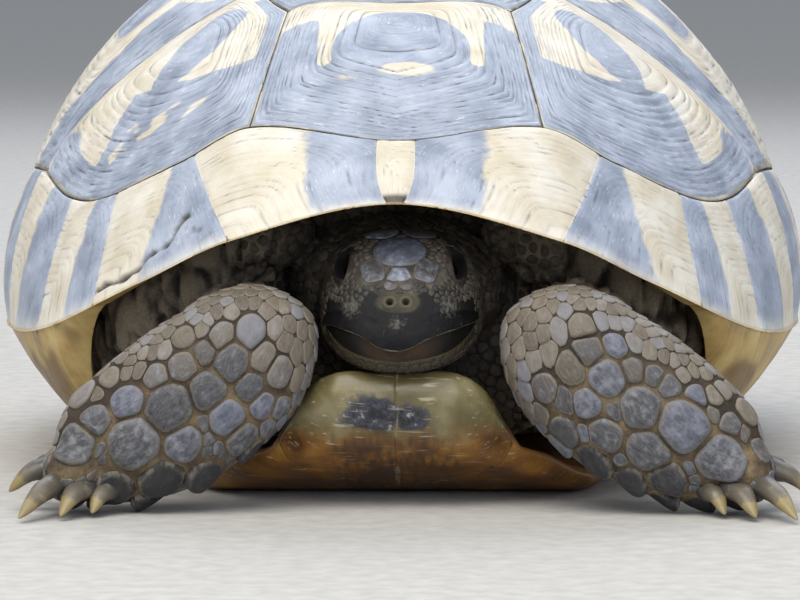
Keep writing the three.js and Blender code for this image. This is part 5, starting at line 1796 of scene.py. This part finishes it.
# The forearm's big scales: share of the way down it, degrees round it from its upper
# edge by way of the front, radius in mm.
BIG_SCALES = {
    "left": [
        (0.68, 82, 4.4), (0.84, 95, 4.4), (0.93, 133, 3.5), (0.72, 131, 3.4), (0.62, 113, 3.5),
        (0.53, 87, 3.5), (0.40, 83, 3.1), (0.49, 120, 2.7), (0.51, 149, 3.0), (0.63, 150, 2.8),
        (0.40, 140, 2.5), (0.40, 107, 2.2), (0.30, 79, 2.6), (0.22, 74, 2.2), (0.31, 97, 2.4),
        (0.35, 62, 2.0), (0.45, 69, 2.0), (0.51, 63, 1.7), (0.57, 63, 1.9), (0.67, 57, 1.8),
        (0.73, 45, 1.6), (0.82, 60, 1.8), (0.85, 165, 3.1), (0.74, 168, 3.0), (0.86, 28, 2.2),
        (0.31, 124, 2.0), (0.75, 33, 1.6), (0.41, 165, 2.5), (0.95, 70, 2.2),
    ],
    "right": [
        (0.89, 74, 3.6), (0.79, 62, 2.4), (0.85, 134, 3.8), (0.71, 95, 4.3), (0.69, 137, 3.7),
        (0.55, 85, 3.9), (0.57, 114, 3.0), (0.66, 65, 2.6), (0.43, 90, 2.9), (0.43, 115, 2.8),
        (0.57, 157, 3.4), (0.32, 86, 2.8), (0.34, 109, 2.0), (0.43, 140, 2.8), (0.35, 127, 1.9),
        (0.21, 87, 2.5), (0.26, 105, 2.0), (0.27, 123, 2.1), (0.33, 144, 1.7), (0.45, 65, 2.2),
        (0.53, 60, 1.9), (0.36, 67, 1.8), (0.27, 69, 2.1), (0.39, 45, 1.9), (0.68, 33, 1.8),
        (0.80, 20, 2.5), (0.95, 110, 2.7), (0.75, 168, 3.1), (0.90, 165, 2.9), (0.43, 165, 2.6),
    ],
}


def foreleg_scales(side, specs, sign, surface):
    """Big dark scales down the forearm's front; snug pale ones over the elbow; small ones
    behind, inside and on the foot."""
    share, degrees, big_radius = np.array(BIG_SCALES[side]).T
    turn = degrees / 360 if sign > 0 else (180 - degrees) / 360
    big, _ = surface.snap(on_loft(specs[1], share, turn, -COAT["limb"]))
    points = surface.points
    near = (sign * points[:, 0] > 12) & (points[:, 1] < -62) & (points[:, 2] < 50)
    points = points[near]
    points = points[limb_distance(specs[1:], points) < 1.2]
    beside = np.min(np.linalg.norm(points[:, None] - big[None], axis=2) - big_radius, axis=1)
    part, share, turn, _ = along_limb(specs, points)
    degrees = around_front(turn, sign)
    fleshy = (part == 1) & (share > 0.42) & (share < 0.9) & (degrees > 68) & (degrees < 195)
    open_ = (part > 0) & ~(fleshy & (beside < 0.75))
    points, part, share, degrees, fleshy = (v[open_] for v in (points, part, share, degrees, fleshy))
    r = np.where((share < 0.45) & (degrees > 90), 1.15, 0.98)
    r = np.where(fleshy, 0.8, r)
    r = np.where((part == 2) | (share > 0.9), 1.0, r)
    fill, fill_radius = scatter(points, r, 5 + (sign > 0), big, big_radius, squash=UPRIGHT)
    return big, big_radius, fill, fill_radius


UPRIGHT = 0.66  # the forelegs' scales are this much broader than long, seen from the front


def around_front(turn, sign):
    """Degrees round a forearm, from its upper edge by way of the front."""
    return turn * 360 if sign > 0 else (180 - turn * 360) % 360


def limb_distance(specs, points):
    """How far out points lie from a limb's middle, as a share of its half size."""
    best = np.full(len(points), 9.0)
    for spec in specs:
        _, _, x, y, t, width, depth = seen_from(spec, points, 40)
        best = np.minimum(best, np.sqrt((x / width) ** 2 + (y / depth) ** 2 + (t / depth) ** 2))
    return best


def foreleg_tone(specs, sign, points):
    """How dark the scales are: dark down the front of the forearm, pale on the elbow."""
    part, share, turn, _ = along_limb(specs, points)
    degrees = around_front(turn, sign)
    frontal = 1 - smoothstep(50, 95, np.abs(degrees - 130))
    tone = np.where(part == 1, frontal * smoothstep(0.16, 0.4, share), 0.2)
    tone = np.where(part == 2, 0.7, tone)
    return np.clip(tone + 0.3 * noise(points, 5, 81), 0, 1)


def coat_forelegs(surface):
    for side, sign, specs in legs("fore"):
        big, big_radius, fill, fill_radius = foreleg_scales(side, specs, sign, surface)
        unwrap = limb_unwrap(specs)
        _, share, turn, way = along_limb(specs, big)
        degrees = around_front(turn, sign)
        low = smoothstep(118, 160, degrees) * smoothstep(0.36, 0.5, share)
        # Painted shade: the low scales' tone goes past 1, which their material darkens nearly to black.
        piece = lay_scales(
            f"foreleg_{side}_shield_scales", surface, big, big_radius,
            way + column(0.3 + 0.9 * low) * [0, 0, -1.0], "pebble", unwrap, sides=28, gap=0.3,
            height=big_radius * (0.26 + 0.06 * low), stretch=0.9 + 0.12 * low, tip=0.35 + 0.9 * low,
            tone=foreleg_tone(specs, sign, big) + 0.9 * low, crowd=fill, crowd_radius=fill_radius,
            limit=1.16, squash=UPRIGHT)
        finish(piece, SCALE, "scaly_skin")
        part, share, _, way = along_limb(specs, fill)
        snug = (part == 1) & (share < 0.5)
        piece = lay_scales(
            f"foreleg_{side}_small_scales", surface, fill, fill_radius, 0.6 * way + [0, 0, -1.0],
            "plate", unwrap, gap=np.where(snug, -0.1, 0.08), height=fill_radius * np.where(snug, 0.2, 0.24),
            tip=np.where(snug, 0.75, 0.3), tone=0.8 * foreleg_tone(specs, sign, fill), crowd=big,
            crowd_radius=big_radius, limit=np.where(snug, 1.9, 1.5), squash=UPRIGHT)
        finish(piece, SCALE, "scaly_skin")


def coat_hindlegs(surface):
    """Small scales over thigh and shin, larger ones on the heel and sole's edge."""
    for side, sign, specs in legs("hind"):
        points = surface.points
        points = points[(sign * points[:, 0] > 14) & (points[:, 1] > 34) & (points[:, 2] < 44)]
        points = points[limb_distance(specs, points) < 1.3]
        part, _, _, _ = along_limb(specs, points)
        r = np.where((part == 1) & (points[:, 1] > 74), 2.1, 1.5)
        seeds, radius = scatter(points, r, 13 + (sign > 0))
        part, _, _, way = along_limb(specs, seeds)
        heel = (part == 1) & (radius > 1.8)
        piece = lay_scales(
            f"hindleg_{side}_scales", surface, seeds, radius, way + [0, 0, -0.3], "plate",
            limb_unwrap(specs), sides=12, gap=0.1, height=radius * np.where(heel, 0.34, 0.22), stretch=1.05,
            tip=np.where(heel, 0.9, 0.5), tone=0.3 + 0.35 * noise(seeds, 8, 82), limit=1.6)
        finish(piece, SCALE, "scaly_skin")


def coat_folds(surface):
    """Granules over the neck, the shoulders' folds and the tail."""
    points = surface.points
    x, y, z = points.T
    neck = (np.abs(x) < 28) & (y < -52) & (y > -77) & (z > 16) & (z < 52)
    shoulder = (np.abs(x) > 16) & (np.abs(x) < 24) & (y < -30) & (z > 12) & (z < 56)
    tail = (np.abs(x) < 12) & (y > 62) & (z < 30)
    for _, _, specs in legs("fore"):
        near = neck | shoulder
        near[near] = limb_distance(specs, points[near]) > 1.12
        neck, shoulder = neck & near, shoulder & near
    for name, chosen, size, ends in (("neck", neck | shoulder, 0.95, ((0, -100, 34), (0, -30, 34))),
                                     ("tail", tail, 1.0, (TAIL["path"][0], TAIL["path"][-1]))):
        seeds, radius = scatter(points[chosen], np.full(chosen.sum(), size), 17, relax=2)
        piece = lay_scales(
            f"{name}_granules", surface, seeds, radius, (0, 1, -0.4), "grain", round_unwrap(*ends), sides=8,
            gap=0.15, height=0.26, tip=0.4, tone=0.3 + 0.3 * noise(seeds, 7, 83), limit=1.35)
        finish(piece, GRANULE if name == "neck" else SCALE, "scaly_skin")


# ---- floor, light and camera -------------------------------------------------------------
def stage():
    bpy.ops.object.select_all(action="DESELECT")
    bpy.ops.mesh.primitive_plane_add(size=60)
    floor = bpy.context.object
    floor.name = "floor"
    made, tree, shader = material("pale_plaster", 0.9)
    speckle = cloud(tree, object_place(tree), 260.0)
    coloured(tree, shader, ramp(tree, speckle, (0.3, "#b0aea9"), (0.7, "#c0beb9")))
    floor.data.materials.append(made)


def light(name, position, aim, size, watts, tint):
    bpy.ops.object.light_add(type="AREA", location=position)
    lamp = bpy.context.object
    lamp.name = name
    lamp.data.shape = "RECTANGLE"
    lamp.data.size, lamp.data.size_y = size
    lamp.data.energy = watts
    lamp.data.color = colour(tint)[:3]
    lamp.rotation_euler = (Vector(aim) - Vector(position)).to_track_quat("-Z", "Y").to_euler()


def lights():
    light("key", (-0.3, -0.8, 1.3), (0, -0.03, 0.05), (1.4, 1.2), 25, "#fffaf2")
    light("fill", (0.5, -1.4, 0.6), (0, -0.05, 0.04), (1.0, 0.6), 5, "#e6eeff")
    light("back", (0.1, 1.1, 1.2), (0, 0, 0.05), (1.6, 0.9), 14, "#eef3ff")
    world = bpy.data.worlds.new("studio")
    world.use_nodes = True
    world.node_tree.nodes["Background"].inputs["Color"].default_value = colour("#dfe6f2")
    world.node_tree.nodes["Background"].inputs["Strength"].default_value = 0.6
    bpy.context.scene.world = world


def camera():
    """Low in front of the animal, on its head, with a long lens."""
    bpy.ops.object.camera_add(
        location=(0.012, -0.85 + SHIFT * MM, 0.095), rotation=np.radians((85.5, 0, 0.852)))
    made = bpy.context.object
    made.data.lens = 202.5
    made.data.sensor_width = 36
    made.data.clip_start, made.data.clip_end = 0.05, 100
    bpy.context.scene.camera = made
    bpy.context.scene.view_settings.view_transform = "Standard"


def flesh():
    """The skin, and all that lies on it."""
    skin = body_skin()
    nodes = ["head", "lower_jaw", "neck", "trunk", "tail", *(name for name, _ in limbs())]
    finish(skin, SKIN, "scaly_skin", *nodes)
    surface = Surface(skin)
    for coat in (coat_forelegs, coat_hindlegs, coat_folds, coat_head, beaks):
        coat(surface)


def claws():
    for side, sign in SIDES:
        for kind, rows, out in (("fore", FORECLAWS, REACH_OUT if sign > 0 else 0), ("hind", HINDCLAWS, 0)):
            for i, (root, tip, width) in enumerate(rows, 1):
                ends = [(sign * (x + out), y, z) for x, y, z in (root, tip)]
                claw(f"claw_{kind}_{side}_{i}", *ends, width)


# ---- the whole animal ----------------------------------------------------------------------
nuchal = [-RIM_BORDERS[0], RIM_BORDERS[0], -NUCHAL_SEAM, NUCHAL_SEAM]
marginal("nuchal", nuchal, 1, (-1, -1), segments=120, rows=24)
vertebrals()
for side, sign in SIDES:
    costals(side, sign)
    marginals(side, sign)
supracaudal = [RIM_BORDERS[-1], 360 - RIM_BORDERS[-1], SEAM_BORDERS[-1], 360 - SEAM_BORDERS[-1]]
marginal("supracaudal", supracaudal, 1, (0.3, 0.3))
plastron()
flesh()
eyes()
claws()
stage()
lights()
camera()
